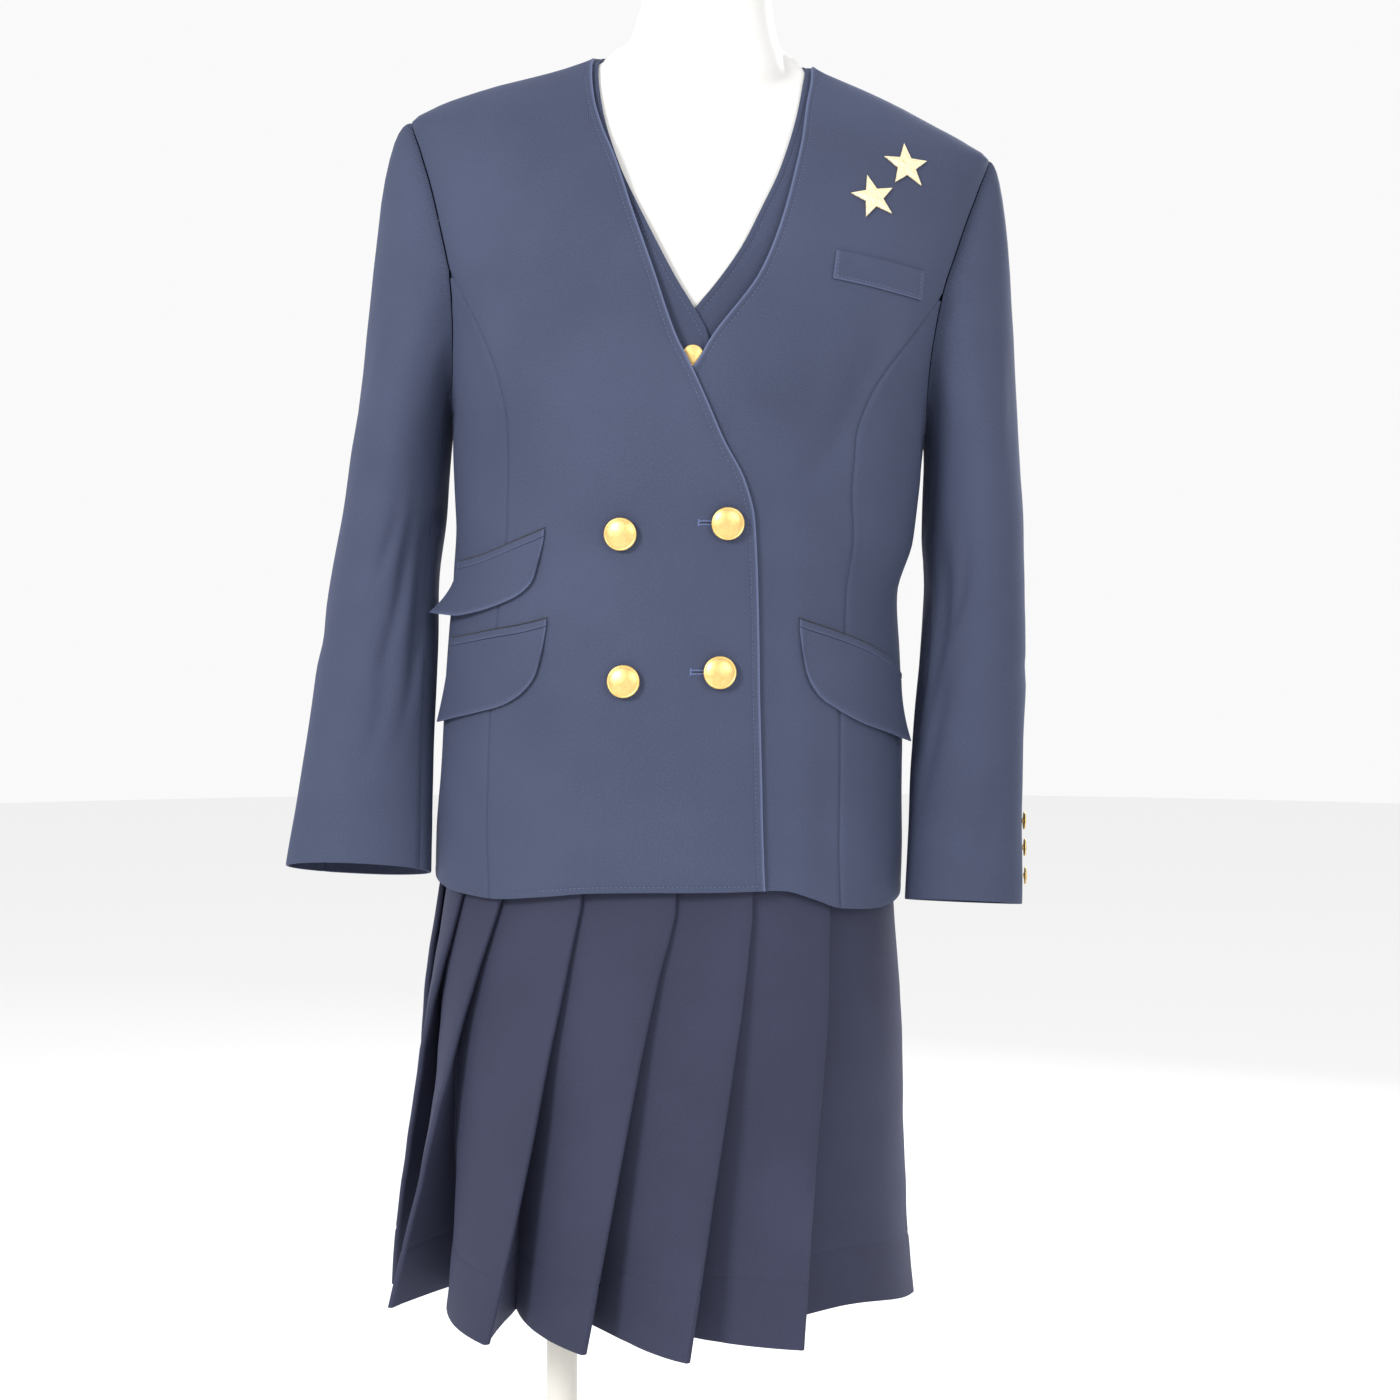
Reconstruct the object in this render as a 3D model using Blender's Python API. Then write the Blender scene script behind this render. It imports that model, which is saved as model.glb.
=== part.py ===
"""A school uniform on a limbless dress form: a collarless double-breasted blazer, a V-neck vest and a
knife-pleated skirt, on a torso that stands on an upright pole and a round base plate.

Tables and lengths are in millimetres. +X is the wearer's left, -Y is the front and +Z is up. Angles go round
the body in degrees: 0 at the centre front, 90 at the wearer's left side, -90 at the right side, 180 at the
centre back. Every cloth piece is a wall cut between seam lines on one set of body sections. The garments and
the form are drawn upright, and an empty then leans them a little sideways on the upright pole."""

import math
from bisect import bisect_right

import bpy
from mathutils import Matrix, Vector

MM = 0.001

# The lean of the form on its pole: the top goes towards +X about a line through this height.
LEAN = 2.5
LEAN_HEIGHT = 955.0

# Cloth walls and the room between pieces.
BLAZER_WALL = 2.0
VEST_WALL = 1.5
SKIRT_WALL = 1.5
BAND_WALL = 2.0
FLAP_WALL = 1.8
SEAM_GAP = 0.34
LIE_GAP = 0.65
OVERLAP_GAP = 1.1
VEST_OVERLAP_GAP = 0.9
REST_GAP = 0.5

FRONT_SEAM, SIDE_SEAM, BACK_SEAM, SHOULDER_SEAM = 0.0, 95.0, 180.0, 90.0


class Track:
    """A smooth curve through (key, value) rows that never swings past the rows beside it."""

    def __init__(self, keys, values):
        self.keys, self.values = keys, values
        slopes = [
            (after - before) / (key_after - key)
            for key, key_after, before, after in zip(keys, keys[1:], values, values[1:])
        ]
        inner = [0.0 if a * b <= 0 else 2 * a * b / (a + b) for a, b in zip(slopes, slopes[1:])]
        self.tangents = [slopes[0], *inner, slopes[-1]]

    def __call__(self, at):
        at = min(max(at, self.keys[0]), self.keys[-1])
        i = min(bisect_right(self.keys, at) - 1, len(self.keys) - 2)
        span = self.keys[i + 1] - self.keys[i]
        t = (at - self.keys[i]) / span
        rise = t * t * (3 - 2 * t)
        start = t * (1 - t) ** 2 * span * self.tangents[i]
        end = t * t * (t - 1) * span * self.tangents[i + 1]
        return self.values[i] * (1 - rise) + self.values[i + 1] * rise + start + end


def table(columns, rows):
    """A Track for each named column of a table, with its first column as the key."""
    rows = sorted(rows)
    keys = [float(row[0]) for row in rows]
    names = columns.split()
    return {name: Track(keys, [float(row[i]) for row in rows]) for i, name in enumerate(names) if i}


# The blazer's outside, as horizontal sections from below its hem to the neck. The last rows close in along
# the shoulder line, from the padded shoulder point at 1364 to the side of the neck.
BODY = table("height half_width front back centre", [
    (745, 168, 139, 117, 0),
    (817, 170, 141, 118, 0),
    (860, 170.3, 138, 116, -0.5),
    (900, 169, 135, 112, -1),
    (950, 167, 131, 105, -1.5),
    (1000, 164, 129, 99, -3),
    (1040, 161.5, 128, 97, -4),
    (1080, 166, 129.5, 99, 1),
    (1130, 170, 134, 105, 1),
    (1180, 173, 137, 111, 0),
    (1230, 180, 131, 115, 0),
    (1280, 189, 118, 112, 0),
    (1315, 196.5, 101, 105, 0),
    (1340, 203, 83, 96, 0),
    (1364, 208, 62, 84, 0),
    (1373, 195, 54, 80, 0),
    (1379, 183, 49, 77, 0),
    (1385, 167, 44, 73, 0),
    (1392, 147, 38.5, 69, 0),
    (1398.5, 126, 33, 65, 0),
    (1405, 106, 26.5, 60, 0),
    (1411, 90, 19.5, 56, 0),
    (1416, 80, 14, 52, 0),
    (1424, 62, 6, 44, 0),
])
SECTION_POWER = 0.87

# How much smaller the form is than the blazer, beside its own drop under the blazer's shoulders.
AIR = table("height side front back", [
    (745, 13, 20, 14),
    (817, 14.5, 19, 14.5),
    (860, 15.5, 17.5, 14.5),
    (900, 18.5, 19.5, 15),
    (950, 27, 27, 18),
    (1000, 37, 36, 18),
    (1040, 40, 39, 18),
    (1080, 36, 34, 18),
    (1130, 27, 24, 16),
    (1180, 21, 15, 13),
    (1230, 20, 12, 11),
    (1280, 22, 10, 9),
    (1315, 23, 8, 7),
    (1340, 25, 6, 5),
    (1364, 22, 5, 4),
    (1373, 13, 4, 3),
    (1385, 3, 3, 3),
    (1392, 0, 2.5, 2.5),
    (1424, 0, 2.5, 2.5),
])
FORM_DROP = 5.7

# Where the vest's outside lies between the blazer's outside (0) and the form (1).
VEST_DEPTH = table("height depth", [(985, 0.285), (1035, 0.4), (1060, 0.44), (1150, 0.68), (1200, 0.78), (1240, 0.72),
                                    (1300, 0.58), (1340, 0.55), (1424, 0.55)])["depth"]

# The rows of every blazer panel, so that seams meet point by point.
BLAZER_HEM = 817
ARMPIT = 1152
PRINCESS_TOP = 1256
SIDE_FRONT_TOP = 1250
SHOULDER_POINT = 1364
NECK_TOP = 1416
ARM_HEIGHTS = [ARMPIT, 1158, 1170, 1190, 1220, SIDE_FRONT_TOP, PRINCESS_TOP, 1287, 1318, 1342, 1356, SHOULDER_POINT]
LOW_HEIGHTS = [BLAZER_HEM, 855, 895, 938, 980, 1014, 1045, 1082, 1118]
TOP_HEIGHTS = [1373, 1383, 1392, 1400, 1407, NECK_TOP]
BLAZER_HEIGHTS = LOW_HEIGHTS + ARM_HEIGHTS + TOP_HEIGHTS

# Seam lines, as angles at each height.
ARMHOLE = table("height right left back", [
    (ARMPIT, 95, 95, 95),
    (1158, 87, 88, 100),
    (1170, 81, 82, 104),
    (1190, 76, 77.5, 107.5),
    (1220, 71, 73.5, 110.5),
    (PRINCESS_TOP, 69, 72.5, 112),
    (1287, 71.5, 75, 111.5),
    (1318, 74.5, 77.5, 108.5),
    (1342, 78.5, 80.5, 104),
    (1356, 83.5, 84.5, 98),
    (SHOULDER_POINT, 90, 90, 90),
])
PRINCESS = table("height right left", [
    (BLAZER_HEM, 44.1, 42.8),
    (870, 45.8, 41.9),
    (953, 47.4, 41.9),
    (1036, 46.8, 45.1),
    (1078, 45.6, 42.8),
    (1119, 44.7, 39.9),
    (1146, 44.6, 40.1),
    (1174, 46.7, 43.6),
    (1206, 52, 51.5),
    (1235, 60.6, 63),
    (PRINCESS_TOP, 69, 72.5),
])

# Free front edges, as the distance from the centre line: the right front lies on top of the left.
BLAZER_EDGE = table("height over under", [
    (BLAZER_HEM, 68, -66),
    (966, 58.6, -58),
    (1089, 49.6, -50),
    (1116, 41.6, -43),
    (1143, 26, -29),
    (1172, 11.9, -12),
    (1198, -1.5, 6),
    (1211, -9, 12.9),
    (1260, -28.3, 45.8),
    (1297, -43, 58.8),
    (1338, -58.5, 67.9),
    (1358.5, -67.9, 71.5),
    (1384, -76.2, 74.1),
    (1406, -79.5, 77.4),
    (NECK_TOP, -80, 78),
])
VEST_EDGE = table("height over under", [
    (985, 16, -15),
    (1195, 15.5, -14.5),
    (1213, 12.1, -9),
    (1231.7, 1.7, 1.7),
    (1250, -10.7, 15.5),
    (1277, -26.5, 32.5),
    (1305, -41.7, 45),
    (1333, -55.5, 56.4),
    (1374, -69.5, 67.2),
    (1404, -75, 72),
    (NECK_TOP, -76, 74),
])
VEST_HEIGHTS = [985, 1036, 1080, 1125, 1160, 1195, 1213, 1232, 1260, 1300, 1342, 1364, 1383, 1392, 1400, 1407, NECK_TOP]
VEST_ARMPIT = 1125
VEST_ARMHOLE = table("height front back", [
    (1125, 95, 95),
    (1160, 80, 106),
    (1195, 71, 112),
    (1232, 63, 116),
    (1287, 57, 119),
    (1342, 58, 118),
    (1364, 61, 115),
    (1383, 70, 106),
    (1396, 90, 90),
])
VEST_SHOULDER = 1396

# The blazer's hem kicks up a little at the fronts.
HEM = table("angle height", [
    (-180, 815), (-90, 823), (-72, 820), (-60, 818), (-45, 818), (-27, 823.5), (-15, 828.5), (8, 833),
    (25, 835), (34, 829), (43, 822), (60, 819.5), (90, 824), (180, 815),
])["height"]
HEM_BLEND = 885
BACK_NECK_DIP, SIDE_NECK_RISE = 14.0, 4.0
BACK_NECK_BLEND = 1340

# The wearer's left shoulder hangs a little lower.
LOW_SHOULDER_DROP = 9.0
LOW_SHOULDER_X, LOW_SHOULDER_START, LOW_SHOULDER_BLEND = 100.0, 1235.0, 100.0

# The left front sinks under the right front, and is level again this far past the right front's edge.
OVERLAP_MARGIN, OVERLAP_BLEND = 9.0, 23.0
OVERLAP_TOP, OVERLAP_END = 1215.0, 1290.0

SLEEVE_COLUMNS = "height inner outer middle half_depth slope turn"
SLEEVES = {
    "right": table(SLEEVE_COLUMNS, [
        (827, 170, 274.5, -46, 25, 0.28, 0),
        (880, 172.5, 269, -32, 34, 0.26, 0),
        (935, 174, 264, -19, 44, 0.22, 0),
        (990, 175, 259.5, -7, 51, 0.15, 0),
        (1040, 176, 254, 1, 56, 0.08, 0),
        (1085, 173, 248, 5, 60, 0.03, 0),
        (1128, 171.8, 243, 6, 62, 0, 0),
    ]),
    "left": table(SLEEVE_COLUMNS, [
        (822, 171, 255.5, -43, 39, 0.15, 36),
        (880, 172, 253.8, -30, 44, 0.2, 30),
        (935, 173, 253, -17, 50, 0.2, 22),
        (990, 175.5, 253.5, -6, 55, 0.15, 14),
        (1040, 178, 250.5, 1, 58, 0.08, 8),
        (1085, 174, 248.5, 5, 61, 0.03, 3),
        (1128, 173.6, 243.5, 6, 62, 0, 0),
    ]),
}
SLEEVE_HEIGHTS = {
    "right": [1128, 1075, 1020, 955, 890, 827],
    "left": [1128, 1075, 1020, 955, 890, 822],
}
CAP_STEPS = [0, 0.1, 0.24, 0.42, 0.62, 0.82]
CAP_REACH = {"right": 26.0, "left": 17.0}
ARMPIT_REACH = 3.0
SLEEVE_FRONT_SEAM, SLEEVE_BACK_SEAM = 150.0, 300.0
CUFF_BUTTON_HEIGHTS = [842, 862, 881]
CUFF_BUTTON_ANGLE = {"right": 310.0, "left": 328.0}

# Flaps and their jets, as columns from the end near the centre front to the end at the side.
FLAP_COLUMNS = "column top_x top_height bottom_x bottom_height lift"
FLAPS = {
    "flap_ticket": (-1, table(FLAP_COLUMNS, [
        (0, 94.8, 1071.5, 97.5, 1056, 0),
        (1, 103, 1067.5, 101.5, 1041, 0),
        (2, 113, 1063, 110, 1031, 0),
        (3, 126, 1057, 124, 1023, 0.5),
        (4, 140, 1051, 141, 1016, 1.5),
        (5, 151, 1047, 155, 1012, 5),
        (6, 158.5, 1044.5, 164, 1012, 13.5),
    ])),
    "flap_right": (-1, table(FLAP_COLUMNS, [
        (0, 90.8, 1009.5, 93, 991, 0),
        (1, 100, 1006.5, 96.5, 976, 0),
        (2, 112, 1003, 105, 963, 0),
        (3, 127, 999.5, 119, 953, 0),
        (4, 143, 995, 139, 945.5, 0.3),
        (5, 155, 991.5, 155, 939.5, 1),
        (6, 161.5, 989.5, 165, 934.5, 3),
    ])),
    "flap_left": (1, table(FLAP_COLUMNS, [
        (0, 83.1, 1016.9, 85.5, 1001, 0),
        (1, 92, 1014, 89.5, 984.5, 0),
        (2, 104, 1010.5, 98, 970.5, 0),
        (3, 119, 1005.5, 112, 960.5, 0),
        (4, 136, 998.5, 131, 950.5, 0.3),
        (5, 150, 989, 149, 943, 1.5),
        (6, 159.5, 978.5, 161.5, 935.5, 6),
    ])),
}
FLAP_STEPS = 3
PATCH_STEP = 0.5
JET_HEIGHT = 5.5
JET_WALL = 1.2
BREAST_WELT = table("column top_x top_height bottom_x bottom_height lift", [
    (0, 97, 1276.4, 95.2, 1256.8, 0),
    (1, 118, 1274.2, 116.5, 1254, 0),
    (2, 139, 1271.8, 137.8, 1251, 0),
    (3, 160, 1269, 159, 1247.6, 0),
])

STARS = {"star_upper": (145.4, 1345.5, 96.5), "star_lower": (122.2, 1317.3, 107.0)}
STAR_RADIUS, STAR_WAIST, STAR_WALL, STAR_CROWN = 16.3, 0.42, 1.0, 0.8

# Buttons are turned: a shank, a flat back and a low dome with a rolled rim.
BUTTON_PROFILE = [(0.26, 0.0), (0.26, 0.19), (0.9, 0.19), (1.0, 0.3), (0.96, 0.42), (0.78, 0.5), (0.45, 0.58)]
BUTTON_CROWN = 0.62
SMALL_BUTTON_PROFILE = [(0.3, 0.0), (0.3, 0.12), (1.0, 0.16), (0.94, 0.3), (0.5, 0.4)]
SMALL_BUTTON_CROWN = 0.43
FRONT_BUTTON_RADIUS, CUFF_BUTTON_RADIUS, VEST_BUTTON_RADIUS = 11.5, 6.5, 7.5
FRONT_BUTTONS = {
    "button_upper_right": (-41.8, 1076), "button_upper_left": (30.6, 1086.5),
    "button_lower_right": (-35.6, 975), "button_lower_left": (29.6, 984),
}
VEST_BUTTON_X = 2.0
VEST_BUTTON_HEIGHTS = [1199, 1136, 1073, 1010]

# The skirt's outside at the pleat folds, and how far each inner fold lies behind them.
SKIRT_HEIGHTS = [517, 625, 735, 817, 870, 930, 1010]
SKIRT = table("height half_width front back power pleat_depth underlay", [
    (517, 195.5, 188, 163, 1, 55, 7),
    (575, 189, 174, 151, 0.97, 43, 8),
    (650, 183, 158, 137, 0.94, 29, 9),
    (735, 177, 145, 124, 0.9, 15.5, 10.5),
    (817, 166.8, 134, 114.3, 0.87, 8.2, 12),
    (880, 161.8, 127.5, 108, 0.87, 6.4, 12),
    (945, 149.3, 115, 96.6, 0.87, 6.4, 12),
    (1010, 134.7, 103, 89.6, 0.87, 6.4, 12),
])
SKIRT_HEM_RISE = 0.049
SKIRT_HEM = table("angle rise", [
    (-180, 0), (-76, 0), (-35, 4), (-13, 5), (8, 0), (33, 0), (58, 6), (95, -5), (130, -2), (180, 0),
])["rise"]
FOLD_RISE = 0.18
PLEATS = [  # angle of the fold at the blazer's hem, angle at the skirt's hem
    (-260, -267), (-238, -250), (-216, -232), (-194, -214), (-172, -195), (-150, -176), (-128, -157),
    (-106, -138), (-84, -118), (-60.1, -97), (-42.2, -76), (-18.4, -35), (0.9, -13), (17.5, 8), (40.1, 33),
]
PLEAT_STEP = 8.5
FOLD_ROOM, FOLD_OPENING, FOLD_ROOM_MOST = 2.0, 0.22, 3.4
WAISTBAND = (1010.3, 1042.0)

FORM_COLUMNS = 28
FORM_BOTTOM = 745
FORM_HEIGHTS = [FORM_BOTTOM, 817, 870, 930, 975, 1010, 1042, 1090, 1140, 1190, 1240, 1287, 1318, 1342,
                SHOULDER_POINT, *TOP_HEIGHTS]
ARM_PLATE = 172.0
NECK = table("height half_width front back", [
    (1330, 62, 52, 53),
    (1405, 62, 52, 53),
    (1420, 57.5, 49.5, 51),
    (1440, 50.5, 46.5, 47.5),
    (1460, 47, 44, 45),
    (1485, 46, 43, 44),
])
NECK_HEIGHTS = [1330, 1405, 1420, 1440, 1460, 1485]
NECK_CAP = [(44, 0), (44, 6), (38, 10)]

POLE_X, POLE_RADIUS = -85.0, 11.5
BASE_RADIUS, BASE_THICKNESS, BASE_EDGE = 185.0, 9.0, 2.5
BOSS_RADIUS, BOSS_HEIGHT = 24.0, 24.0
SOCKET_RADIUS, SOCKET_HEIGHT, SOCKET_ROOM = 30.0, 14.0, 1.2
POLE_SIDES, BASE_SIDES, RING_SIDES = 20, 40, 18


def smoothstep(value):
    value = min(max(value, 0.0), 1.0)
    return value * value * (3 - 2 * value)


# ---- The surface that the cloth follows -------------------------------------------------------------------

def body_section(height, depth):
    """Half-width, front, back and centre of a layer: depth 0 is the blazer's outside and 1 is the form."""
    level = height + FORM_DROP * depth
    return (
        BODY["half_width"](level) - depth * AIR["side"](height),
        BODY["front"](level) - depth * AIR["front"](height),
        BODY["back"](level) - depth * AIR["back"](height),
        BODY["centre"](level),
    )


def section_point(angle, height, half_width, front, back, centre=0.0, power=SECTION_POWER):
    turn = math.radians(angle)
    across = math.copysign(abs(math.sin(turn)) ** power, math.sin(turn))
    along = math.copysign(abs(math.cos(turn)) ** power, math.cos(turn))
    reach = front if along > 0 else back
    return Vector((centre + half_width * across, -reach * along, height))


def body_point(angle, height, depth=0.0):
    point = section_point(angle, height, *body_section(height, depth))
    low = smoothstep((point.x - LOW_SHOULDER_X) / LOW_SHOULDER_BLEND)
    point.z -= LOW_SHOULDER_DROP * low * smoothstep((height - LOW_SHOULDER_START) / LOW_SHOULDER_BLEND)
    return point


def body_normal(angle, height, depth=0.0):
    across = body_point(angle + 0.5, height, depth) - body_point(angle - 0.5, height, depth)
    up = body_point(angle, height + 1, depth) - body_point(angle, height - 1, depth)
    return across.cross(up).normalized()


def lifted_point(angle, height, out, depth=0.0):
    """A point of a layer, moved out along its normal."""
    return body_point(angle, height, depth) + body_normal(angle, height, depth) * out


def angle_at(x, height, depth=0.0):
    """The angle on the front half of a layer at a distance x from the middle of the body."""
    half_width, _, _, centre = body_section(height, depth)
    share = min(abs(x - centre) / half_width, 0.995)
    return math.copysign(math.degrees(math.asin(share ** (1 / SECTION_POWER))), x - centre)


def blazer_level(angle, height):
    """The real height of a row: low rows follow the hem, and the top rows dip to the back neck."""
    if height < HEM_BLEND:
        return height + (HEM(angle) - BLAZER_HEM) * (HEM_BLEND - height) / (HEM_BLEND - BLAZER_HEM)
    behind = math.radians(max(min(abs(angle), 360 - abs(angle)) - SHOULDER_SEAM, 0.0))
    change = SIDE_NECK_RISE * math.sin(2 * behind) - BACK_NECK_DIP * math.sin(behind) ** 4
    return height + change * smoothstep((height - BACK_NECK_BLEND) / (NECK_TOP - BACK_NECK_BLEND))


def overlap_sink(x, height):
    share = smoothstep(1 - (x - BLAZER_EDGE["over"](height) - OVERLAP_MARGIN) / OVERLAP_BLEND)
    share *= smoothstep((OVERLAP_END - height) / (OVERLAP_END - OVERLAP_TOP))
    return -(BLAZER_WALL + OVERLAP_GAP) * share


def flat(_x, _height):
    return 0.0


# ---- Meshes -----------------------------------------------------------------------------------------------

def make_material(name, colour, roughness, metallic=0.0):
    material = bpy.data.materials.new(name)
    material.use_nodes = True
    shader = material.node_tree.nodes["Principled BSDF"]
    shader.inputs["Base Color"].default_value = (*colour, 1.0)
    shader.inputs["Roughness"].default_value = roughness
    shader.inputs["Metallic"].default_value = metallic
    return material


def make_object(name, points, faces, material, parent=None):
    """A named solid from points in millimetres."""
    mesh = bpy.data.meshes.new(name)
    mesh.from_pydata([point * MM for point in points], [], faces)
    mesh.materials.append(material)
    mesh.shade_smooth()
    mesh.set_sharp_from_angle(angle=math.radians(40))
    piece = bpy.data.objects.new(name, mesh)
    bpy.context.scene.collection.objects.link(piece)
    if parent is not None:
        piece.parent = parent
        piece.location.z = -LEAN_HEIGHT * MM
    return piece


def wall_faces(rows, columns, closed, mirrored=False):
    """Faces of a wall whose outer grid comes first and whose inner grid follows in the same order. Both sides
    are cut into triangles on the same diagonal, so a twisted stretch of cloth keeps its thickness."""
    inside = rows * columns
    faces = []
    last = columns if closed else columns - 1
    for r in range(rows - 1):
        for c in range(last):
            d = (c + 1) % columns
            low, beside, high, across = r * columns + c, r * columns + d, (r + 1) * columns + d, (r + 1) * columns + c
            for triangle in ([low, beside, across], [beside, high, across]):
                faces.append(triangle)
                faces.append([inside + i for i in reversed(triangle)])
    for c in range(last):
        d = (c + 1) % columns
        faces.append([d, c, inside + c, inside + d])
        top = (rows - 1) * columns
        faces.append([top + c, top + d, inside + top + d, inside + top + c])
    if not closed:
        for r in range(rows - 1):
            low, high = r * columns, (r + 1) * columns
            faces += [[low, high, inside + high], [low, inside + high, inside + low]]
            low, high = low + columns - 1, high + columns - 1
            faces += [[high, low, inside + high], [low, inside + low, inside + high]]
    return [face[::-1] for face in faces] if mirrored else faces


def make_wall(name, grid, material, parent, closed=False, mirrored=False):
    """A cloth wall from rows of (outer, inner) pairs."""
    points = [pair[0] for row in grid for pair in row] + [pair[1] for row in grid for pair in row]
    return make_object(name, points, wall_faces(len(grid), len(grid[0]), closed, mirrored), material, parent)


def trim_row(row, trim=SEAM_GAP / 2):
    """Both ends of a row drawn in, to leave the seam's gap."""
    for end, beside in ((0, 1), (-1, -2)):
        row[end] = tuple(
            point + (near - point).normalized() * trim for point, near in zip(row[end], row[beside])
        )
    return row


def make_panel(name, heights, left, right, columns, wall, material, parent, depth=None, lift=flat, level=None):
    """A cloth panel between two seam lines, as rows at the given heights."""
    grid = []
    for height in heights:
        start, end = left(height), right(height)
        row = []
        for i in range(columns + 1):
            angle = start + (end - start) * i / columns
            real = level(angle, height) if level else height
            layer = depth(real) if depth else 0.0
            out = lift(body_point(angle, real, layer).x, real)
            row.append((lifted_point(angle, real, out, layer), lifted_point(angle, real, out - wall, layer)))
        grid.append(trim_row(row))
    return make_wall(name, grid, material, parent)


def turned(name, profile, sides, material, centre, axis=Vector((0, 0, 1)), parent=None, hole=0.0):
    """A turned solid from (radius, height) rows, closed on its axis or round a hole."""
    spin = axis.to_track_quat("Z", "Y").to_matrix()
    rings = [profile_ring(radius, height, sides) for radius, height in profile]
    if hole:
        rings += [profile_ring(hole, profile[-1][1], sides), profile_ring(hole, profile[0][1], sides)]
    points = [centre + spin @ point for ring in rings for point in ring]
    faces = []
    for r in range(len(rings) if hole else len(rings) - 1):
        low, high = r * sides, (r + 1) % len(rings) * sides
        for c in range(sides):
            d = (c + 1) % sides
            faces.append([low + c, low + d, high + d, high + c])
    if not hole:
        faces.append(list(range(sides))[::-1])
        faces.append([(len(rings) - 1) * sides + c for c in range(sides)])
    return make_object(name, points, faces, material, parent)


def profile_ring(radius, height, sides):
    step = math.tau / sides
    return [Vector((radius * math.cos(i * step), radius * math.sin(i * step), height)) for i in range(sides)]


# ---- Blazer -----------------------------------------------------------------------------------------------

def build_blazer_body(cloth, tilt):
    def seam_before(side, princess):
        """The outer seam of a front: princess seam, armhole, then shoulder seam."""
        def seam(height):
            if height > SHOULDER_POINT:
                return side * SHOULDER_SEAM
            armhole = ARMHOLE["right" if side < 0 else "left"]
            return side * (armhole(height) if height >= PRINCESS_TOP else princess(height))
        return seam

    def side_seam(side, armhole):
        def seam(height):
            if height > SHOULDER_POINT:
                return side * SHOULDER_SEAM
            return side * (armhole(height) if height > ARMPIT else SIDE_SEAM)
        return seam

    def edge(column):
        return lambda height: angle_at(BLAZER_EDGE[column](height), height)

    def panel(name, heights, left, right, columns, lift=flat):
        make_panel(name, heights, left, right, columns, BLAZER_WALL, cloth, tilt, lift=lift, level=blazer_level)

    side_heights = [height for height in BLAZER_HEIGHTS if height <= SIDE_FRONT_TOP]
    right_princess = seam_before(-1, PRINCESS["right"])
    left_princess = seam_before(1, PRINCESS["left"])
    panel("blazer_front_right", BLAZER_HEIGHTS, right_princess, edge("over"), 9)
    panel("blazer_front_left", BLAZER_HEIGHTS, edge("under"), left_princess, 9, overlap_sink)
    panel("blazer_side_right", side_heights, side_seam(-1, ARMHOLE["right"]), right_princess, 4)
    panel("blazer_side_left", side_heights, left_princess, side_seam(1, ARMHOLE["left"]), 4)
    panel("blazer_back_right", BLAZER_HEIGHTS, lambda _: -BACK_SEAM, side_seam(-1, ARMHOLE["back"]), 7)
    panel("blazer_back_left", BLAZER_HEIGHTS, side_seam(1, ARMHOLE["back"]), lambda _: BACK_SEAM, 7)


def armhole_loop(side):
    """Points and normals round an armhole: from the shoulder down the front, and up the back."""
    seam = ARMHOLE["right" if side < 0 else "left"]
    front = [(side * seam(height), height) for height in reversed(ARM_HEIGHTS)]
    back = [(side * ARMHOLE["back"](height), height) for height in ARM_HEIGHTS[1:-1]]
    places = [(angle, blazer_level(angle, height)) for angle, height in front + back]
    return [body_point(*place) for place in places], [body_normal(*place) for place in places]


def sleeve_point(sleeve, side, around, height):
    """A point of the sleeve's outside: around is 0 at the outside of the arm and 90 at its front."""
    inner, outer = sleeve["inner"](height), sleeve["outer"](height)
    turn = math.radians(around + sleeve["turn"](height))
    forward = -sleeve["half_depth"](height) * math.sin(turn)
    x = (inner + outer) / 2 + (outer - inner) / 2 * math.cos(turn)
    return Vector((side * x, sleeve["middle"](height) + forward, height - sleeve["slope"](height) * forward))


def sleeve_angles(loop):
    """Each armhole point's place round the sleeve: 0 at the shoulder, 180 at the armpit."""
    count = len(loop)
    half = len(ARM_HEIGHTS) - 1
    lengths = [(loop[(i + 1) % count] - loop[i]).length for i in range(count)]
    halves = sum(lengths[:half]), sum(lengths[half:])
    angles = []
    for i in range(count):
        if i < half:
            angles.append(180 * sum(lengths[:i]) / halves[0])
        else:
            angles.append(180 + 180 * sum(lengths[half:i]) / halves[1])
    return angles


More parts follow.
